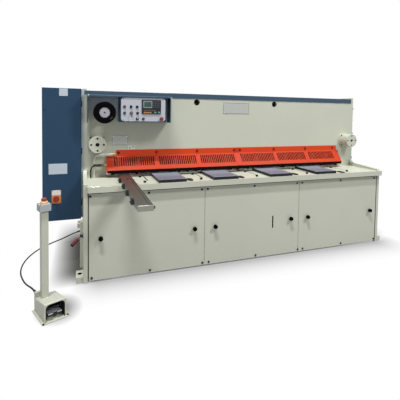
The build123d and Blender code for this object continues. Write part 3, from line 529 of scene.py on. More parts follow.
def piece(name, mesh, finish, body="machine", instead_of=()):
    for face in mesh.faces:
        face.smooth = True
    for edge in mesh.edges:
        edge.smooth = edge.calc_face_angle(0.0) < sharp_edge
    data = bpy.data.meshes.new(name)
    mesh.to_mesh(data)
    mesh.free()
    data.materials.append(finish.material)
    made = bpy.data.objects.new(name, data)
    bpy.context.scene.collection.objects.link(made)
    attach(made, body)
    if instead_of:
        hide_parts(*instead_of)
    print(name, len(data.polygons), "faces")
    return made


def piece_of_blocks(name, finish, corners, edge=0.0, cuts=2, body="machine"):
    """A piece made of blocks, each given by its two corners."""
    mesh = bmesh.new()
    for low, high in corners:
        block(mesh, low, high, edge, cuts)
    return piece(name, mesh, finish, body)


def piece_of_stamps(name, finish, *shapes, body="machine", instead_of=(), slot=None):
    """A piece made of small shapes, each with the list of its places."""
    mesh = bmesh.new()
    for shape, places in shapes:
        stamp(mesh, shape, places)
    return piece(name, mesh, finish, body, instead_of)


print("pieces ride on the bodies of the machine")

# %% [markdown]
# ## The foot control's cable
# A rubber-sheathed cable leaves a gland low on the side frame, sinks to the floor, swings out
# in one wide bow and climbs to the gland behind the foot control. It is stiff enough for the
# bow to be smooth. A NURBS curve with the route's points as control points gives just that.

# %% Cable route
pedestal_turn = radians(23)
pedestal_at = Vector((-2.085, -1.352, 0))
pedestal_place = Matrix.Translation(pedestal_at) @ Matrix.Rotation(pedestal_turn, 4, "Z")
on_floor = 0.0073
cable_route = [
    (-1.858, 0.448, 0.060), (-1.935, 0.440, 0.040), (-2.005, 0.396, 0.027), (-2.080, 0.341, 0.013),
    (-2.165, 0.277, on_floor), (-2.275, 0.156, on_floor), (-2.365, 0.004, on_floor),
    (-2.421, -0.172, on_floor), (-2.444, -0.347, on_floor), (-2.432, -0.530, 0.0083),
    (-2.387, -0.700, 0.020), (-2.342, -0.868, 0.056), (-2.297, -1.021, 0.102),
]
gland_tip = pedestal_place @ Vector((-0.072, 0.149, 0.140))
behind_gland = pedestal_place @ Vector((-0.072, 0.234, 0.140))
cable_route += [tuple(behind_gland), tuple(gland_tip)]
print("cable points", len(cable_route))

# %% [markdown]
# ## The cable's curve
# A round bevel gives the curve its thickness, and its ends are capped. It stands for the
# solid of the cable, which follows the same route in straight runs and round bends.

# %% Cable
cable_line = bpy.data.curves.new("foot_cable", "CURVE")
cable_line.dimensions = "3D"
spline = cable_line.splines.new("NURBS")
spline.points.add(len(cable_route) - 1)
for point, place in zip(spline.points, cable_route):
    point.co = (*place, 1)
spline.order_u = 3
spline.use_endpoint_u = True
spline.resolution_u = 10
cable_line.bevel_depth = 0.007
cable_line.bevel_resolution = 5
cable_line.use_fill_caps = True
cable_line.materials.append(rubber.material)
cable = bpy.data.objects.new("foot_cable", cable_line)
bpy.context.scene.collection.objects.link(cable)
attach(cable, "machine")
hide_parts("foot_control_cable")
print("cable", round(2000 * cable_line.bevel_depth), "mm thick")

# %% [markdown]
# ## Strain reliefs
# Where a cable enters a gland it wears a tapered sleeve, so that it can't kink at the edge.
# It is a lathe shape with shallow rings, thick at the gland and thin where the cable leaves.

# %% Strain reliefs
rings = [(0.0076, 0.0), (0.0115, 0.0), (0.0115, 0.004)]
for k in range(5):
    outside, start = 0.0112 - 0.0006 * k, 0.006 + 0.008 * k
    rings += [(outside, start), (outside, start + 0.004), (outside - 0.0012, start + 0.005),
              (outside - 0.0012, start + 0.007)]
rings += [(0.0082, 0.048), (0.0072, 0.050), (0.0072, 0.0), (0.0076, 0.0)]
first_run = Vector(cable_route[1]) - Vector(cable_route[0])
drooping = upward(*cable_route[0]) @ first_run.to_track_quat("Z", "Y").to_matrix().to_4x4()
level_run = (upward(*gland_tip) @ Matrix.Rotation(pedestal_turn, 4, "Z")
             @ Matrix.Rotation(-pi / 2, 4, "X"))
reliefs = piece_of_stamps("strain_reliefs", black, (lathe(rings, 24), [drooping, level_run]),
                          slot="black_plastic")

# %% [markdown]
# ## Cover screws
# The three bed covers are held by eighteen screws, nine under the table and nine along the
# foot. Each is a socket screw with a washer under its head, blackened. The hexagon socket is
# pushed in with inset and a move, so that it catches a shadow.

# %% Screws
def socket_screw(radius, height):
    screw = posts((radius * 1.45, 0, height * 0.22, 28), (radius, height * 0.2, height, 24))
    crown = max(screw.faces, key=lambda f: f.calc_center_median().z)
    soften(screw, list(crown.edges), radius * 0.14, 2)
    crown = max(screw.faces, key=lambda f: (round(f.calc_center_median().z, 6), f.calc_area()))
    bmesh.ops.inset_region(screw, faces=[crown], thickness=radius * 0.42)
    bmesh.ops.translate(screw, verts=crown.verts, vec=(0, 0, -height * 0.45))
    return screw


upper_x = (-1.768, -1.203, -0.633, -0.567, -0.001, 0.565, 0.637, 1.204, 1.746)
lower_x = (-1.755, -1.186, -0.617, -0.545, 0.028, 0.595, 0.666, 1.236, 1.766)
cover_y = -0.93
rows = [front(x, cover_y, 0.845) for x in upper_x] + [front(x, cover_y, 0.045) for x in lower_x]
piece_of_stamps("cover_screws", dark_steel, (socket_screw(0.0085, 0.008), rows), slot="dark_steel")

# %% [markdown]
# ## Cover shade lines
# Dark grey strips along the covers are painted shade: they stand for the thin lines of shadow in
# the gaps beside the side frames and under the table's lip. A pale strip closes the gap between
# the cabinet and the side frame.

# %% Cover shade lines
covers_low, covers_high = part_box("front_covers")
shade_line_wide, shade_line_back = 0.011, cover_y + 0.0004
# painted shade: dark strips for the shadow lines in the covers' gaps
shade_line_at = [((x, cover_y - 0.0012, covers_low.z), (x + shade_line_wide, shade_line_back, covers_high.z))
           for x in (covers_low.x - 0.004, covers_high.x + 0.004 - shade_line_wide)]
shade_line_at += [((covers_low.x, cover_y - 0.0010, covers_high.z - 0.009),
             (covers_high.x, shade_line_back, covers_high.z))]
piece_of_blocks("cover_gap_shade_lines", gap_shade_grey, shade_line_at, 0.0004, 1)

frame_face = -0.435
packing_front, packing_top = frame_face - 0.006, 1.897
packing_at = [((-1.848, packing_front, 0.507), (-1.830, frame_face + 0.010, packing_top)),
              ((-1.831, packing_front, 0.962), (-1.821, frame_face - 0.0002, packing_top))]
piece_of_blocks("cabinet_packing", pale_strip, packing_at, 0.001, 1)

# %% [markdown]
# ## The guard's bolts and foot strip
# The folded guard hangs on a row of bolts in its top flange, sprayed over with the guard. The
# bolts are a darker orange than the guard: painted shade for the shadows on them. A black strip
# over the guard's foot is painted shade: it is what shows as the dark line of shadow over the
# table. A small stepped ear of the same sheet closes the guard's left end.

# %% Guard trim
def hex_bolt(radius, height):
    """A washer, a hexagon and the chamfer that rounds its top."""
    return posts((radius * 1.5, 0, height * 0.2, 28), (radius, height * 0.18, height, 6),
                 (radius * 0.78, height * 0.9, height * 1.06, 24, radius * 0.7))


guard_low, guard_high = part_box("finger_guard")
# painted shade: the guard's bolts are painted a darker orange for the shadows on them
bolt_orange_painted_shade = enamel("guard_bolts_painted_shade", colour(104, 24, 16), 0.5, 0.1, gloss=0.1)
bolt_x = (-1.455, -1.026, -0.527, -0.035, 0.045, 0.535, 1.025, 1.48)
bolt_row = [front(x, guard_high.y - 0.006, 1.2) for x in bolt_x]
piece_of_stamps("guard_bolts", bolt_orange_painted_shade, (hex_bolt(0.010, 0.009), bolt_row),
                slot="orange_paint")

# painted shade: the black strip on the guard's foot stands for the shadow line over the table
lip_low, lip_high = guard_low.z - 0.012, guard_low.z + 0.020
lip_at = [((guard_low.x, guard_low.y - 0.004, lip_low),
           (guard_high.x, guard_low.y + 0.009, lip_high))]
piece_of_blocks("guard_lip", guard_foot_painted_shade, lip_at, 0.0015)

ear_deep, ear_left, ear_right = 0.0075, guard_low.x - 0.016, guard_low.x + 0.001
ear_steps = ((-0.5495, 0.992, 1.026), (-0.5380, 1.024, 1.046), (-0.5220, 1.044, 1.066))
piece_of_blocks("guard_ear", orange, [((ear_left, y, low), (ear_right, y + ear_deep, high))
                                      for y, low, high in ear_steps], 0.0006, 1)

# %% [markdown]
# ## Guard stiffeners
# Over the seams of the guard lie flat strips that tie two lengths together, with rivets at
# their ends. A strip is made flat and laid on the slope by a matrix of three directions.

# %% Guard seams
fold = Vector((0, -0.441, guard_fold))
toe = Vector((0, -0.55, 1.020))
slope = (toe - fold).normalized()
outward = Vector((0, slope.z, -slope.y))
lie = Matrix((Vector((1, 0, 0)), slope, outward)).transposed().to_4x4()
strip_thick, off_edge = 0.002, 0.009
seam_x = {-1.026: 0.010, -0.527: 0.010, 0.003: 0.030, 0.535: 0.010, 1.025: 0.010}
seams = bmesh.new()
seam_rivets = []
for x, half in seam_x.items():
    strip = slab((-half, 0, 0), (half, (toe - fold).length, strip_thick), 0.0008, 1)
    stamp(seams, strip, [Matrix.Translation(fold + Vector((x, 0, 0))) @ lie])
    block(seams, (x - half, fold.y - strip_thick, fold.z),
          (x + half, fold.y + 0.0005, guard_high.z - 0.001), 0.0006, 1)
    steps = (off_edge - half, half - off_edge) if half > 2 * off_edge else (0,)
    for along in (0.012, 0.168):
        for step in steps:
            at = fold + slope * along + outward * strip_thick + Vector((x + step, 0, 0))
            seam_rivets.append(Matrix.Translation(at) @ lie)
stamp(seams, posts((0.006, 0, 0.003, 18, 0.0045)), seam_rivets)
piece("guard_seam_strips", seams, orange)

# %% [markdown]
# ## Hose nut
# The short hose ends in a blackened union nut with a bright collar behind it.

# %% Hose nut
nut_at = [side(-1.618, -0.5, 1.076)]
nut = posts((0.0155, 0.042, 0.072, 6), (0.0125, 0.072, 0.112, 28, 0.0100))
piece_of_stamps("hose_nut", dark_steel, (nut, nut_at), slot="dark_steel")
piece_of_stamps("hose_collar", dial_metal, (posts((0.0130, 0.0, 0.042, 28)), nut_at),
                slot="bright_metal")

# %% [markdown]
# ## The table
# The table top is painted, and a bright steel strip along its front edge is a painted highlight
# on that edge.
# Thin black plates on the pads' fronts are a painted reflection of the dark that the polished
# fronts mirror, and each pad has four countersunk screws.

# %% Table edge and pads
table_low, table_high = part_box("work_table")
# painted highlight: a bright strip along the table's front edge
edge_at = [((table_low.x + 0.02, table_low.y + 0.0005, table_high.z - 0.0004),
            (table_high.x - 0.02, table_low.y + 0.012, table_high.z + 0.0008))]
piece_of_blocks("table_edge", edge_steel, edge_at, 0.0004, 1)

pads_low, pads_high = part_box("table_pads")
pad_x = (-0.955, -0.355, 0.340, 0.975)
# painted reflection: black plates on the pads' fronts
front_at = [((x - 0.147, pads_low.y - 0.0012, table_high.z + 0.001),
             (x + 0.122, pads_low.y + 0.001, pads_high.z - 0.003)) for x in pad_x]
piece_of_blocks("pad_fronts", black, front_at, 0.0004, 1)

sink = lathe([(0.0140, 0.0), (0.0140, 0.0006), (0.0125, 0.0007), (0.0055, 0.0002),
              (0.0001, 0.0002)], 24)
sink_at = [upward(x + dx, y, pads_high.z) for x in pad_x for dx in (-0.11, 0.11)
           for y in (-0.905, -0.54)]
piece_of_stamps("pad_screws", edge_steel, (sink, sink_at), slot="bright_metal")

# %% [markdown]
# ## Table plugs
# Beside each pad stands an oval plug of black plastic: two round ends and a block between.

# %% Table plugs
plug_round, plug_high = 0.029, 0.008
plug_profile = [(plug_round, 0.0), (plug_round, 0.005), (0.026, plug_high), (0.0001, plug_high)]
plugs = bmesh.new()
for x, y in ((-0.750, -0.866), (-0.148, -0.873), (0.564, -0.871), (1.230, -0.901)):
    ends = [upward(x, y + end, table_high.z) for end in (-0.030, 0.030)]
    stamp(plugs, lathe(plug_profile, 32), ends)
    block(plugs, (x - plug_round, y - 0.030, table_high.z),
          (x + plug_round, y + 0.030, table_high.z + 0.0079))
piece("table_plugs", plugs, black_and_painted_shade)

# %% [markdown]
# ## Grooves and pins in the table
# The five grooves are painted dark at the bottom, painted shade for the shadow in them, and
# black screws with domed heads stand beside them, lower than the pads, so that the sheet slides
# over all of it. A strip for each groove and one lathe shape for the screws are enough.

# %% Grooves and pins
groove_x = (-1.190, -0.580, 0.100, 0.785, 1.392)
# painted shade: dark strips at the bottom of the grooves
groove_at = [((x - 0.0057, -0.798, table_high.z - 0.0045),
              (x + 0.0057, -0.372, table_high.z - 0.0003)) for x in groove_x]
piece_of_blocks("groove_bottoms", black_and_painted_shade, groove_at)

pin_at = [(x - 0.045, y) for x in groove_x for y in (-0.370, -0.580, -0.875)]
pin_at += [(x, -0.345) for x in (-1.510, -0.719, -0.511, -0.031, 0.213, 0.719, 0.949, 1.640)]
pin = lathe([(0.0104, 0.0), (0.0104, 0.0100), (0.0150, 0.0100), (0.0150, 0.022),
             (0.0125, 0.0270), (0.0060, 0.0295), (0.0001, 0.030)], 24)
piece_of_stamps("table_pins", black_and_painted_shade, (pin, [upward(x, y, table_high.z - 0.010)
                                             for x, y in pin_at]), slot="black_plastic")

# %% [markdown]
# ## The squaring arm
# The arm is a ground bar with a stop block let into its left side at four places. A scale is
# cut along its right edge. Short lines every 10 mm and longer ones every 50 are enough.

# %% Arm scale
arm_low, arm_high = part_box("squaring_arm")
scale_right, half_line = arm_high.x - 0.004, 0.0006
line_low, line_high = arm_high.z - 0.0002, arm_high.z + 0.0003
scale_lines = []
for k in range(136):
    long = 0.018 if k % 5 == 0 else 0.010
    y = arm_high.y - 0.015 - 0.010 * k
    scale_lines.append(((scale_right - long, y - half_line, line_low),
                        (scale_right, y + half_line, line_high)))
scale_lines.append(((scale_right - half_line, arm_low.y + 0.02, line_low),
                    (scale_right, arm_high.y - 0.012, line_high)))
piece_of_blocks("arm_scale", dark_steel, scale_lines)

# %% [markdown]
# ## Arm slot, nose and bolts
# A dark line along the arm is painted shade for the shadow in its slot, and a bright strip on
# its nose is a painted highlight where its rounded edge catches the light. Bolts of three sizes
# hold the arm down, hold it to the table and clamp its stops.

# %% Arm slot and bolts
# painted shade: a dark line for the shadow in the arm's slot
slot_at = [((arm_high.x - 0.0325, arm_low.y + 0.003, arm_high.z - 0.0004),
            (arm_high.x - 0.0285, arm_high.y - 0.003, arm_high.z + 0.0002))]
piece_of_blocks("arm_slot", black_and_painted_shade, slot_at)
# painted highlight: a bright strip on the arm's nose
nose_at = [((arm_low.x + 0.008, arm_low.y + 0.002, arm_high.z - 0.0012),
            (arm_high.x - 0.030, arm_low.y + 0.016, arm_high.z + 0.0006))]
piece_of_blocks("arm_nose", edge_steel, nose_at, 0.0006, 1)

arm_middle = (arm_low.x + arm_high.x) / 2
on_top = [upward(arm_middle, y, arm_high.z - 0.001) for y in (-0.560, -0.860)]
on_right = [side(arm_high.x, y, 0.960, left=False) for y in (-0.84, -1.044, -1.866)]
on_left = [side(-1.492, y, 0.966) for y in (-0.827, -1.121, -1.394, -1.686)]
piece_of_stamps("arm_bolts", dark_steel, (socket_screw(0.008, 0.009), on_top),
                (hex_bolt(0.012, 0.014), on_right), (socket_screw(0.007, 0.008), on_left),
                slot="dark_steel")

# %% [markdown]
# ## Round flanges
# The two drums on the front plate are bored in the middle and at four places. Dark discs at
# the bottom of the bores are painted shade that gives them depth, and four bolts hold each
# drum's base to the plate.

# %% Flange plugs
drum_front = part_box("round_flanges")[0].y
drum_z = 1.306


def on_drums(circle, y, angles):
    """Places on a circle about the middle of each drum, looking out of the front."""
    return [front(x + circle * cos(a), y, drum_z + circle * sin(a))
            for x in (-1.686, 1.686) for a in angles]


quarters = [k * pi / 2 for k in range(4)]
between = [pi / 4 + a for a in quarters]
bore_floor, base_face = drum_front + 0.030, drum_front + 0.121
# painted shade: dark discs at the bottom of the bores
piece_of_stamps("flange_bores", black_and_painted_shade,
                (posts((0.0108, 0, 0.004, 24)), on_drums(0.064, bore_floor, quarters)),
                (posts((0.0208, 0, 0.004, 32)), on_drums(0, bore_floor, (0,))),
                (hex_bolt(0.0062, 0.006), on_drums(0.093, base_face, between)),
                slot="dark_steel")

# %% [markdown]
# ## Push buttons
# Each button is a black ring with a domed cap. The rings are one piece, and the caps are
# grouped by colour. The places are measured from the panel's own corner.

# %% Buttons
panel_low, panel_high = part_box("control_panel")
panel_y = panel_low.y


def on_panel(right, down):
    return panel_low.x + right, panel_high.z - down


key_dark = moulded("dark_keys", colour(62, 64, 76), 0.45, fine)
button_ring = lathe([(0.0112, 0.0), (0.0150, 0.0), (0.0150, 0.003), (0.0135, 0.0065),
                     (0.0118, 0.0065), (0.0112, 0.005), (0.0112, 0.0)], 36)
right_and_down = ((0.036, 0.098), (0.105, 0.098), (0.169, 0.098), (0.038, 0.165),
                  (0.174, 0.165), (0.237, 0.227))
button_at = [front(x, panel_y, z) for x, z in (on_panel(*p) for p in right_and_down)]
piece_of_stamps("button_rings", black, (button_ring, button_at), instead_of=("push_buttons",),
                slot="black_plastic")

cap_round, cap_high = 0.0116, 0.011
cap_profile = [(cap_round, 0.0), (cap_round, cap_high * 0.6), (cap_round * 0.93, cap_high * 0.9),
               (cap_round * 0.7, cap_high), (cap_round * 0.6, cap_high * 0.96),
               (0.0001, cap_high * 0.9)]
for name, finish, picks, part_slot in (("red_cap", maroon, (0,), "red_plastic"),
                                       ("green_cap", green, (3,), "black_plastic"),
                                       ("black_caps", black, (1, 2, 4), "black_plastic"),
                                       ("grey_cap", key_dark, (5,), "black_plastic")):
    piece_of_stamps(name, finish, (lathe(cap_profile, 32), [button_at[i] for i in picks]),
                    slot=part_slot)

# %% [markdown]
# ## Key switch, selector and emergency stop
# A key switch is a metal barrel in a black ring, and its key turns with it. The selector has
# a white pointer line on its handle. The stop's red mushroom keeps the shape of its solid.

# %% Turning controls
key_x, key_z = on_panel(0.109, 0.165)
key_ring = lathe([(0.0153, 0.0002), (0.0175, 0.0002), (0.0172, 0.004), (0.0158, 0.006),
                  (0.0153, 0.005), (0.0153, 0.0002)], 36)
piece_of_stamps("key_ring", black, (key_ring, [front(key_x, panel_y, key_z)]),
                slot="black_plastic")
tag_at = [((key_x - 0.0030, panel_y - 0.0330, key_z - 0.046),
           (key_x + 0.0030, panel_y - 0.0290, key_z - 0.010))]
piece_of_blocks("key_tag", black, tag_at, 0.0012, body="key")

pointer_x, pointer_z = on_panel(0.172, 0.227)
pointer_at = [((pointer_x - 0.0026, panel_y - 0.0224, pointer_z - 0.002),
               (pointer_x + 0.0026, panel_y - 0.0212, pointer_z + 0.0128))]
piece_of_blocks("selector_pointer", white, pointer_at, 0.0003, 1, "selector")

# %% [markdown]
# ## Screen
# The black display unit holds a green liquid crystal screen. A wave texture gives it faint
# rows, and a faint glow keeps it green in the canopy's shade.

# %% Screen finish
screen_shade = colour(44, 74, 70)
screen_green = Finish("screen_green", screen_shade, 0.3)
screen_rows = screen_green.node("ShaderNodeTexWave",
                                {"wave_type": "BANDS", "bands_direction": "Z"},
                                {"Vector": screen_green.place(), "Scale": 34.0, "Distortion": 0.0})
for socket, share in (("Base Color", 0.55), ("Emission Color", 0.5)):
    screen_green.feed(socket, screen_green.mix(screen_rows, screen_shade,
                                               darker(screen_shade, share)))
screen_green.feed("Emission Strength", 0.04)
print("screen finish ready")

# %% [markdown]
# ## Display unit
# The screen has a pale frame, with a row of brown and a row of amber keys under it, a dark
# keypad on its right and two teal keys below. Each key is a small bevelled block.

# %% Display details
amber = moulded("amber_keys", colour(182, 128, 68), 0.4, fine)
brown = moulded("brown_keys", colour(92, 66, 64), 0.5, fine)
bezel_pale = moulded("pale_bezel", colour(128, 148, 142), 0.4, fine)
unit_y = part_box("display_unit")[0].y


def on_unit(name, finish, boxes, height, edge=0.0008):
    """Blocks on the face of the display unit, from (left, low, right, high)."""
    piece_of_blocks(name, finish, [((left, unit_y - height, low), (right, unit_y + 0.0004, high))
                                   for left, low, right, high in boxes], edge)


on_unit("screen_bezel", bezel_pale, [(-1.218, 1.703, -1.120, 1.714), (-1.218, 1.769, -1.120, 1.780),
                                     (-1.218, 1.714, -1.208, 1.769),
                                     (-1.130, 1.714, -1.120, 1.769)], 0.003)
on_unit("screen", screen_green, [(-1.208, 1.714, -1.130, 1.769)], 0.0012, 0.0003)
for name, finish, keys, low in (("amber_key_row", amber, 4, 1.646),
                                ("brown_key_row", brown, 6, 1.669)):
    on_unit(name, finish, [(-1.211 + 0.0215 * k, low, -1.193 + 0.0215 * k, low + 0.015)
                           for k in range(keys)], 0.003)
on_unit("keypad", key_dark, [(-1.113 + 0.0196 * k, 1.684 + 0.0196 * j,
                              -1.098 + 0.0196 * k, 1.699 + 0.0196 * j)
                             for k in range(4) for j in range(1, 5)], 0.0025)
on_unit("teal_keys", teal, [(x - 0.012, 1.648, x + 0.012, 1.664) for x in (-1.086, -1.043)], 0.003)

# %% [markdown]
# ## Panel screws and the canopy
# Four small screws hold the panel. The canopy over the niche laps over the left side frame
# and is held by a cap nut at the left. A pale strip under its fascia is a painted highlight on
# the fascia's lower edge.

# %% Canopy trim
panel_corners = [front(x, panel_y, z) for x in (panel_low.x + 0.026, panel_high.x - 0.026)
                 for z in (panel_low.z + 0.012, panel_high.z - 0.012)]
piece_of_stamps("panel_screws", dark_steel, (socket_screw(0.0035, 0.003), panel_corners),
                slot="dark_steel")
piece_of_stamps("canopy_nut", white, (hex_bolt(0.0050, 0.0060), [front(-1.779, -0.645, 1.826)]),
                slot="bright_metal")

canopy_low, canopy_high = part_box("control_hood")
fascia_low = 1.826
lap_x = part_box("side_frames")[0].x + 0.012
edge_front, edge_back = canopy_low.y - 0.0008, canopy_low.y + 0.001
lap_at = [((lap_x, canopy_low.y, fascia_low),
           (canopy_low.x + 0.001, canopy_low.y + 0.004, canopy_high.z - 0.014))]
piece_of_blocks("canopy_lap", hood_blue_painted_sheen, lap_at, 0.0008, 1)
# painted highlight: a pale strip on the fascia's lower edge
fascia_highlight_blue = enamel("fascia_painted_highlight", colour(104, 132, 152), 0.4, 0.05)
highlight_at = [((lap_x, edge_front, fascia_low - 0.0004),
              (canopy_high.x, edge_back, fascia_low + 0.004))]
piece_of_blocks("fascia_edge", fascia_highlight_blue, highlight_at, 0.0004, 1)

# %% [markdown]
# ## The niche's back
# The sheet behind the handwheel is cream like the frame, and toward the top it is painted
# blue-grey: painted light, for the blue light that the canopy throws down on it. A ramp up the Z
# axis mixes the two shades.

# %% Niche back
niche_finish_painted_light = enamel("niche_painted_blue_light_enamel", cream_shade, 0.45, 0.06)
up_the_niche = niche_finish_painted_light.ramp(niche_finish_painted_light.axis("Z"), 1.58, 1.74)
# painted light: blue bounce from the canopy painted up the niche
niche_painted_blue_light = niche_finish_painted_light.mix(up_the_niche, cream_shade, colour(198, 211, 226))
niche_finish_painted_light.feed("Base Color", niche_painted_blue_light)
niche_at = [((canopy_low.x + 0.006, frame_face - 0.0012, 1.560),
             (-1.460, frame_face - 0.0002, fascia_low))]
piece_of_blocks("niche_back", niche_finish_painted_light, niche_at, 0.0002, 1)

# %% [markdown]
# ## The canopy's right cheek
# The sheet's front edge is painted pale, a painted highlight like the one under the fascia.

# %% Cheek edge
# painted highlight: a pale strip on the cheek's front edge
cheek_highlight_pale = enamel("cheek_painted_highlight", colour(150, 168, 166), 0.4, 0.05)
cheek_at = [((canopy_high.x - 0.015, edge_front, canopy_low.z + 0.001),
             (canopy_high.x, edge_back, fascia_low))]
piece_of_blocks("cheek_edge", cheek_highlight_pale, cheek_at, 0.0004, 1)

# %% [markdown]
# ## Plates on the front plate
# Two metal plates and one small white one are fixed with rivets and screws. Thin dark lines
# along the edge of the big ones are painted shade for a shallow pressed frame, because a flat
# sheet would look like paper.

# %% Plate rivets
plates_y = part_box("blank_plates")[0].y
frame_front, frame_back = plates_y - 0.0006, plates_y + 0.0002
frame_inset, frame_wide = 0.006, 0.002
rivet_inset = 0.016
frame_at, rivet_at = [], []
for x, z, wide, high in ((-0.014, 1.722, 0.362, 0.143), (-1.438, 1.342, 0.176, 0.115)):
    left, right = x - wide / 2 + frame_inset, x + wide / 2 - frame_inset
    low, top = z - high / 2 + frame_inset, z + high / 2 - frame_inset
    frame_at += [((line_x, frame_front, low), (line_x + frame_wide, frame_back, top))
                 for line_x in (left, right - frame_wide)]
    frame_at += [((left, frame_front, line_z), (right, frame_back, line_z + frame_wide))
                 for line_z in (low, top - frame_wide)]
    rivet_at += [front(x + s * (wide / 2 - rivet_inset), plates_y, z + t * (high / 2 - rivet_inset))
                 for s in (-1, 1) for t in (-1, 1)]
# painted shade: thin dark lines for the pressed frame's shadow
piece_of_blocks("plate_frames", dark_steel, frame_at)
rivet = lathe([(0.0050, 0.0), (0.0046, 0.0018), (0.0026, 0.0030), (0.0001, 0.0033)], 20)
piece_of_stamps("plate_rivets", chrome, (rivet, rivet_at), slot="bright_metal")

small_at = [((-1.351, plates_y, 1.236), (-1.272, plates_y + 0.0022, 1.276))]
piece_of_blocks("small_plate", white, small_at, 0.0004, 1)
small_screws = [front(-1.330, plates_y, 1.253), front(-1.293, plates_y, 1.262)]
piece_of_stamps("small_plate_screws", dark_steel, (socket_screw(0.0048, 0.004), small_screws),
                slot="dark_steel")

# %% [markdown]
# ## Handwheel
# The wheel's black rim is solid. In its middle sits a silver dial that counts the turns, with
# fine divisions round its edge. A folding grip lies on the rim.

# %% Dial
dial_face = wheel_y - 0.010


def on_dial(count):
    return [front(wheel_x, dial_face, wheel_z, k * tau / count) for k in range(count)]


dial_hub = lathe([(0.009, 0.0), (0.009, 0.003), (0.007, 0.005), (0.0001, 0.005)], 28)
piece_of_stamps("dial_marks", dark_steel,
                (slab((-0.0006, 0.046, 0), (0.0006, 0.0515, 0.0005)), on_dial(50)),
                (slab((-0.001, 0.040, 0), (0.001, 0.0515, 0.0006)), on_dial(10)),
                (dial_hub, on_dial(1)), body="wheel", slot="dark_steel")

crank_turn, crank_arm = radians(-42), 0.088
grip_at = front(wheel_x + crank_arm * cos(crank_turn), wheel_y - 0.017,
                wheel_z + crank_arm * sin(crank_turn), crank_turn)
piece_of_stamps("folding_grip", dark_steel,
                (slab((-0.005, -0.020, 0), (0.005, 0.020, 0.008), 0.002), [grip_at]),
                body="wheel", slot="dark_steel")
ring = lathe([(0.0525, 0.0), (0.0650, 0.0), (0.0640, 0.004), (0.0585, 0.006), (0.0530, 0.004),
              (0.0525, 0.0)], 48)
piece_of_stamps("dial_ring", wheel_black, (ring, [front(wheel_x, dial_face + 0.001, wheel_z)]),
                body="wheel", slot="black_plastic")

# %% [markdown]
# ## Cabinet door
# The door carries two pale plates, a white one over the yellow plate of the main switch, and
# two quarter-turn locks in its own blue. Four small screws hold the yellow plate. All of it
# swings with the door, and the switch's rotary handle keeps the shape of its solid.

# %% Door fittings
door_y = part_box("cabinet_door")[0].y
plate_front, plate_back = door_y - 0.0012, door_y + 0.0005
door_plates = [((-2.064, plate_front, 1.815), (-1.980, plate_back, 1.892)),
               ((-2.167, plate_front, 0.998), (-1.987, plate_back, 1.108))]
piece_of_blocks("door_plates", pale_plate, door_plates, 0.0005, 1, "door")
over_switch = [((-2.137, door_y - 0.0035, 0.778), (-2.051, door_y - 0.0028, 0.829))]
piece_of_blocks("switch_plate_top", white, over_switch, 0.0003, 1, "door")

lock = lathe([(0.014, 0.0), (0.014, 0.002), (0.012, 0.0045), (0.006, 0.0045), (0.005, 0.002),
              (0.0001, 0.002)], 30)
piece_of_stamps("door_locks", blue, (lock, [front(-2.205, door_y, z) for z in (0.72, 1.68)]),
                body="door", slot="blue_paint")
switch_corners = [front(-2.094 + dx, door_y - 0.003, z) for dx in (-0.036, 0.036)
                  for z in (0.698, 0.822)]
piece_of_stamps("switch_screws", dark_steel, (socket_screw(0.003, 0.002), switch_corners),
                body="door", slot="dark_steel")

# %% [markdown]
# ## Foot control
# The pedal's housing is dark inside, and a black sleeve just inside the mouth is painted shade
# for it: a block is bevelled along its top edges, opened at the front and at the bottom, and
# thickened inwards.

# %% Housing lining
roof_fall = 40 / 242
mouth_y, above_walls = -0.121, 0.1


def in_pedestal(mesh):
    bmesh.ops.transform(mesh, matrix=pedestal_place, verts=mesh.verts)


mouth = slab((-0.0805, -0.1205, 0.0085), (0.0685, 0.0685, 0.1445))
for corner in mouth.verts:
    if corner.co.z > above_walls:
        corner.co.z -= (corner.co.y - mouth_y) * roof_fall
roof_edges = [e for e in mouth.edges if all(v.co.z > above_walls for v in e.verts)
              and abs(e.verts[0].co.y - e.verts[1].co.y) > 0.1]
soften(mouth, roof_edges, 0.034, 8)
open_faces = [min(mouth.faces, key=lambda f: f.calc_center_median().y),
              min(mouth.faces, key=lambda f: f.calc_center_median().z)]
bmesh.ops.delete(mouth, geom=open_faces, context="FACES_ONLY")
bmesh.ops.recalc_face_normals(mouth, faces=mouth.faces)
bmesh.ops.solidify(mouth, geom=mouth.faces[:], thickness=0.003)
in_pedestal(mouth)
# painted shade: a black sleeve inside the mouth for the dark inside the housing
piece("mouth_painted_shade", mouth, black_and_painted_shade)

# %% [markdown]
# ## Pedal
# The treadle is cast. Its front edge has a rounded bay in the middle between two lobes, and
# ribs across it give the sole some grip. Three bevelled blocks overlap to make the plate. It
# turns on the pin, so it rides on the pedal's body.

# %% Pedal
treadle = slab((-0.060, -0.096, 0.056), (0.048, -0.018, 0.064), 0.003, 3)
for left, right in ((-0.060, -0.023), (0.011, 0.048)):
    block(treadle, (left, -0.117, 0.0555), (right, -0.060, 0.0645), 0.0044, 3)
for k in range(5):
    y = -0.088 + 0.013 * k
    block(treadle, (-0.052, y - 0.0020, 0.0635), (0.040, y + 0.0020, 0.0662), 0.0009)
stamp(treadle, posts((0.0090, -0.053, 0.053, 28)), [side(-0.006, -0.025, 0.060, left=False)])
in_pedestal(treadle)
piece("treadle", treadle, cast_pedal, "pedal", instead_of=("foot_pedal",))

# %% [markdown]
# ## Foot control's head
# The head is a moulded box with four screws in its lid. The stop on top keeps the shape of its
# solid. Three bolts hold the base.

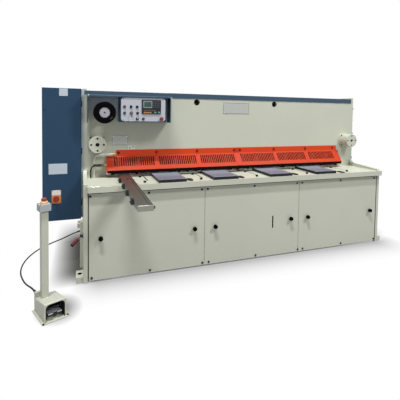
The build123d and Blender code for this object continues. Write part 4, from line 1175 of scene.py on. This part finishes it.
# %% Head trim
lid_corners = [pedestal_place @ upward(-0.034 + dx, 0.050 + dy, 0.904)
               for dx in (-0.037, 0.037) for dy in (-0.034, 0.034)]
piece_of_stamps("head_screws", dark_steel, (socket_screw(0.0032, 0.003), lid_corners),
                slot="dark_steel")
base_at = [pedestal_place @ upward(x, y, 0.008)
           for x, y in ((0.094, -0.116), (0.094, 0.116), (-0.100, -0.1255))]
piece_of_stamps("base_bolts", dark_steel, (hex_bolt(0.006, 0.006), base_at), slot="dark_steel")

# %% [markdown]
# ## Hand lever
# The lever of the valve on the left side has a thick dark red grip, ribbed for the fingers,
# with a black end. The grip is a lathe profile laid along the lever's slope.

# %% Lever grip
lever_dark_red = moulded("grip_red", colour(108, 36, 40), 0.4, 0.00003)
slant = Vector((-1, 0, -1)).normalized()
along_lever = [upward(-1.850, -0.829, 0.436)
               @ slant.to_track_quat("Z", "Y").to_matrix().to_4x4()]
ribs = [(0.0062, 0.040), (0.0150, 0.042)]
for k in range(8):
    start = 0.046 + 0.0082 * k
    ribs += [(0.0178, start), (0.0178, start + 0.0050), (0.0164, start + 0.0062)]
ribs += [(0.0174, 0.112), (0.0062, 0.112)]
piece_of_stamps("lever_grip", lever_dark_red, (lathe(ribs, 28), along_lever), body="lever",
                slot="red_plastic")
lever_end = lathe([(0.0062, 0.110), (0.0182, 0.110), (0.0182, 0.120), (0.0150, 0.126),
                   (0.0070, 0.129), (0.0001, 0.129)], 28)
piece_of_stamps("lever_end", black, (lever_end, along_lever), body="lever", slot="black_plastic")

# %% [markdown]
# ## Sides and feet
# The side frames carry the bolts that hold the plates between them. On the left the cabinet
# stands before the front ones, so only the bolts behind it are made. Each foot has a steel
# bush in its anchor hole.

# %% Frame bolts
side_at = [(y, z) for y in (-0.418, 0.603) for z in (1.05, 1.40, 1.75)]
side_at += [(-0.32, 0.30), (-0.32, 0.75)]
frame_side = 1.83
left_bolts = [side(-frame_side, y, z) for y, z in side_at if y > 0]
right_bolts = [side(frame_side, y, z, left=False) for y, z in side_at]
piece_of_stamps("frame_bolts", dark_steel, (hex_bolt(0.015, 0.013), left_bolts + right_bolts),
                slot="dark_steel")

bush_in, bush_out, collar_out = 0.0146, 0.0154, 0.0215
bush_low, collar_low, bush_high = 0.004, 0.0600, 0.0628
bush = lathe([(bush_in, bush_low), (bush_in, bush_high), (collar_out, bush_high),
              (collar_out, collar_low), (bush_out, collar_low), (bush_out, bush_low),
              (bush_in, bush_low)], 28)
anchor_at = [upward(x, y, 0) for x in (-1.864, 1.864) for y in (-0.830, 0.830)]
piece_of_stamps("anchor_bushes", dark_steel, (bush, anchor_at), slot="dark_steel")

# %% [markdown]
# ## Back
# Nothing shows the back, so it repeats what the front has: the same covers with the same rows
# of screws. Those on the covers have flat heads, because nothing stands out behind them.

# %% Rear screws
rear_x = [s * x for x in (0.06, 0.597, 1.13, 1.75) for s in (-1, 1)]
flat_head = lathe([(0.0120, -0.0030), (0.0120, -0.0006), (0.0112, -0.0001), (0.0050, -0.0001),
                   (0.0046, -0.0022), (0.0001, -0.0022)], 24)
piece_of_stamps("rear_screws", dark_steel,
                (flat_head, [back(x, 0.93, z) for x in rear_x for z in (0.06, 0.52)]),
                (socket_screw(0.0085, 0.008),
                 [back(x, 0.62, z) for x in rear_x for z in (1.03, 1.845)]), slot="dark_steel")

# %% [markdown]
# ## Floor
# The machine stands in an empty white studio. Close to it the floor is a matt surface that
# takes real shadows. Further away it glows plain white for the camera and for reflections, so
# there is no horizon. Two ovals say where the one turns into the other, and in front of the
# machine and left of it the glow comes nearly up to the frame.

# %% Floor
floor_mesh = bmesh.new()
bmesh.ops.create_circle(floor_mesh, cap_ends=True, cap_tris=False, radius=40, segments=64)
floor_data = bpy.data.meshes.new("floor")
floor_mesh.to_mesh(floor_data)
floor_mesh.free()
floor = bpy.data.objects.new("floor", floor_data)
bpy.context.scene.collection.objects.link(floor)
floor_finish = Finish("studio_floor", (0.6, 0.6, 0.6, 1), 0.9, Specular_IOR_Level=0.1)
floor_data.materials.append(floor_finish.material)
along_x, along_y = floor_finish.axis("X"), floor_finish.axis("Y")


def around(middle, reach, soft):
    """0 inside an oval on the floor, 1 outside it."""
    away = [-m / r for m, r in zip(middle, reach)]
    oval = floor_finish.place((1 / reach[0], 1 / reach[1], 0), shift=(*away, 0))
    return floor_finish.ramp(floor_finish.length(oval), 1.0, soft)


def rises(axis, low, high):
    return floor_finish.ramp(axis, low, high)


def falls(axis, low, high):
    return 1 - floor_finish.ramp(axis, low, high)


nearly_all = 0.97
off_the_machine = around((0.0, 0.1), (2.3, 1.12), 1.25)
off_the_foot_control = around((-1.95, -1.2), (0.36, 0.36), 1.8)
glow = off_the_machine * off_the_foot_control
for strip in (falls(along_x, -1.86, -1.72), falls(along_y, -0.94, -0.88)):
    glow = glow + (1 - glow) * strip * nearly_all
print("floor", len(floor_data.polygons), "face")

# %% [markdown]
# ## Soft shade on the floor
# Three soft grey pools of painted shade are painted into the glow's colour: beside the left
# frame, along the foot in front, and by the foot control, where the machine hides the studio's
# walls and ceiling from the floor. Each is a mask made of ramps or of an oval, 1 in its middle
# and 0 at its rim, and it darkens the glow.

# %% Floor shade
from_left, from_front = rises(along_x, -2.16, -1.85), rises(along_y, -0.96, -0.60)
beside = (from_left * (2 - from_left) * from_front * (2 - from_front)
          * falls(along_x, -1.75, -1.55) * falls(along_y, 0.25, 1.1))
toward_foot = rises(along_y, -1.44, -0.94)
foot_strip = rises(along_x, -1.95, -1.70) * falls(along_x, 1.80, 2.15) * falls(along_y, -0.2, 0.8)
along_foot = toward_foot * toward_foot * foot_strip * 0.55
by_the_pedal = (1 - around((-2.03, -1.30), (0.05, 0.065), 4.0)) * 0.85
# painted shade: the three pools darken the glowing floor's colour
painted_floor_shade = (1, 1, 1, 1)
for pool, shade in ((beside, (0.07, 0.07, 0.06, 1)), (along_foot, (0.05, 0.05, 0.06, 1)),
                    (by_the_pedal, (0.10, 0.095, 0.11, 1))):
    painted_floor_shade = floor_finish.mix(pool, painted_floor_shade, shade)
print("three soft pools")

# %% [markdown]
# ## Two floors in one
# A Mix Shader joins the matt floor and the glowing one. The glow counts only for rays from the
# camera and from reflections, so it lights nothing. The matt floor is paler to the camera than
# to bounced light, which keeps its light from filling the shadows under the table.

# %% Floor blend
seen = floor_finish.node("ShaderNodeLightPath", {}, {}, "Is Camera Ray")
glossy = floor_finish.node("ShaderNodeLightPath", {}, {}, "Is Glossy Ray")
matt_to_light, matt_to_camera = (0.30, 0.30, 0.31, 1), (0.80, 0.795, 0.81, 1)
floor_finish.feed("Base Color", floor_finish.mix(seen, matt_to_light, matt_to_camera))
glowing = floor_finish.node("ShaderNodeEmission", {}, {"Color": painted_floor_shade, "Strength": 1.0})
matt = Value(floor_finish, floor_finish.shader.outputs[0])
blend = floor_finish.node("ShaderNodeMixShader", {},
                          {0: (seen + glossy) * glow, 1: matt, 2: glowing})
output = next(n for n in floor_finish.tree.nodes if n.type == "OUTPUT_MATERIAL")
floor_finish.tree.links.new(blend.socket, output.inputs["Surface"])
print("floor finish", len(floor_finish.tree.nodes), "nodes")

# %% [markdown]
# ## Backdrop
# The world is white too. Seen by the camera or in a reflection it is full white, but as a
# source of light it is kept low, or it would wash out the lamps' shadows.

# %% Backdrop
sky_as_light, sky_as_seen = 0.18, 1.0
world = bpy.data.worlds.new("studio")
bpy.context.scene.world = world
world.use_nodes = True
sky = world.node_tree
backdrop = sky.nodes["Background"]
backdrop.inputs["Color"].default_value = (1, 1, 1, 1)
path = sky.nodes.new("ShaderNodeLightPath")
direct = sky.nodes.new("ShaderNodeMath")
direct.operation = "MAXIMUM"
sky.links.new(path.outputs["Is Camera Ray"], direct.inputs[0])
sky.links.new(path.outputs["Is Glossy Ray"], direct.inputs[1])
sky_level = sky.nodes.new("ShaderNodeMapRange")
sky_level.inputs["To Min"].default_value = sky_as_light
sky_level.inputs["To Max"].default_value = sky_as_seen
sky.links.new(direct.outputs[0], sky_level.inputs["Value"])
sky.links.new(sky_level.outputs[0], backdrop.inputs["Strength"])
print("backdrop", sky_as_seen, "to the eye,", sky_as_light, "as light")

# %% [markdown]
# ## Lamps
# A long narrow key lamp hangs high above the front and draws the table lip's shadow. A second
# one from the right lights the guard under the canopy. Two weak broad ones fill in the front
# and the back. A lamp's long side is kept level along the machine, so its matrix is built from
# three directions.

# %% Lamps
def lamp(name, place, target, size, watts):
    data = bpy.data.lights.new(name, "AREA")
    data.shape = "RECTANGLE"
    data.size, data.size_y = size
    data.energy = watts
    made = bpy.data.objects.new(name, data)
    bpy.context.scene.collection.objects.link(made)
    away = (Vector(place) - Vector(target)).normalized()
    long_side = (Vector((1, 0, 0)) - away * away.x).normalized()
    turned = Matrix((long_side, away.cross(long_side), away)).transposed().to_4x4()
    made.matrix_world = Matrix.Translation(place) @ turned


lamp("key", (-3.0, -4.5, 13.9), (0.1, -0.8, 0.9), (4.0, 0.6), 1750)
lamp("second", (5.5, -7.7, 10.7), (0.1, -0.6, 1.2), (3.0, 2.4), 960)
lamp("front_fill", (-3.0, -9.0, 2.5), (0, -0.5, 1.0), (5.0, 3.0), 45)
lamp("rear_fill", (0, 6.0, 4.5), (0, 0.4, 0.9), (6.0, 2.5), 80)
bpy.context.scene.view_settings.view_transform = "Standard"
print("lamps", len(bpy.data.lights))
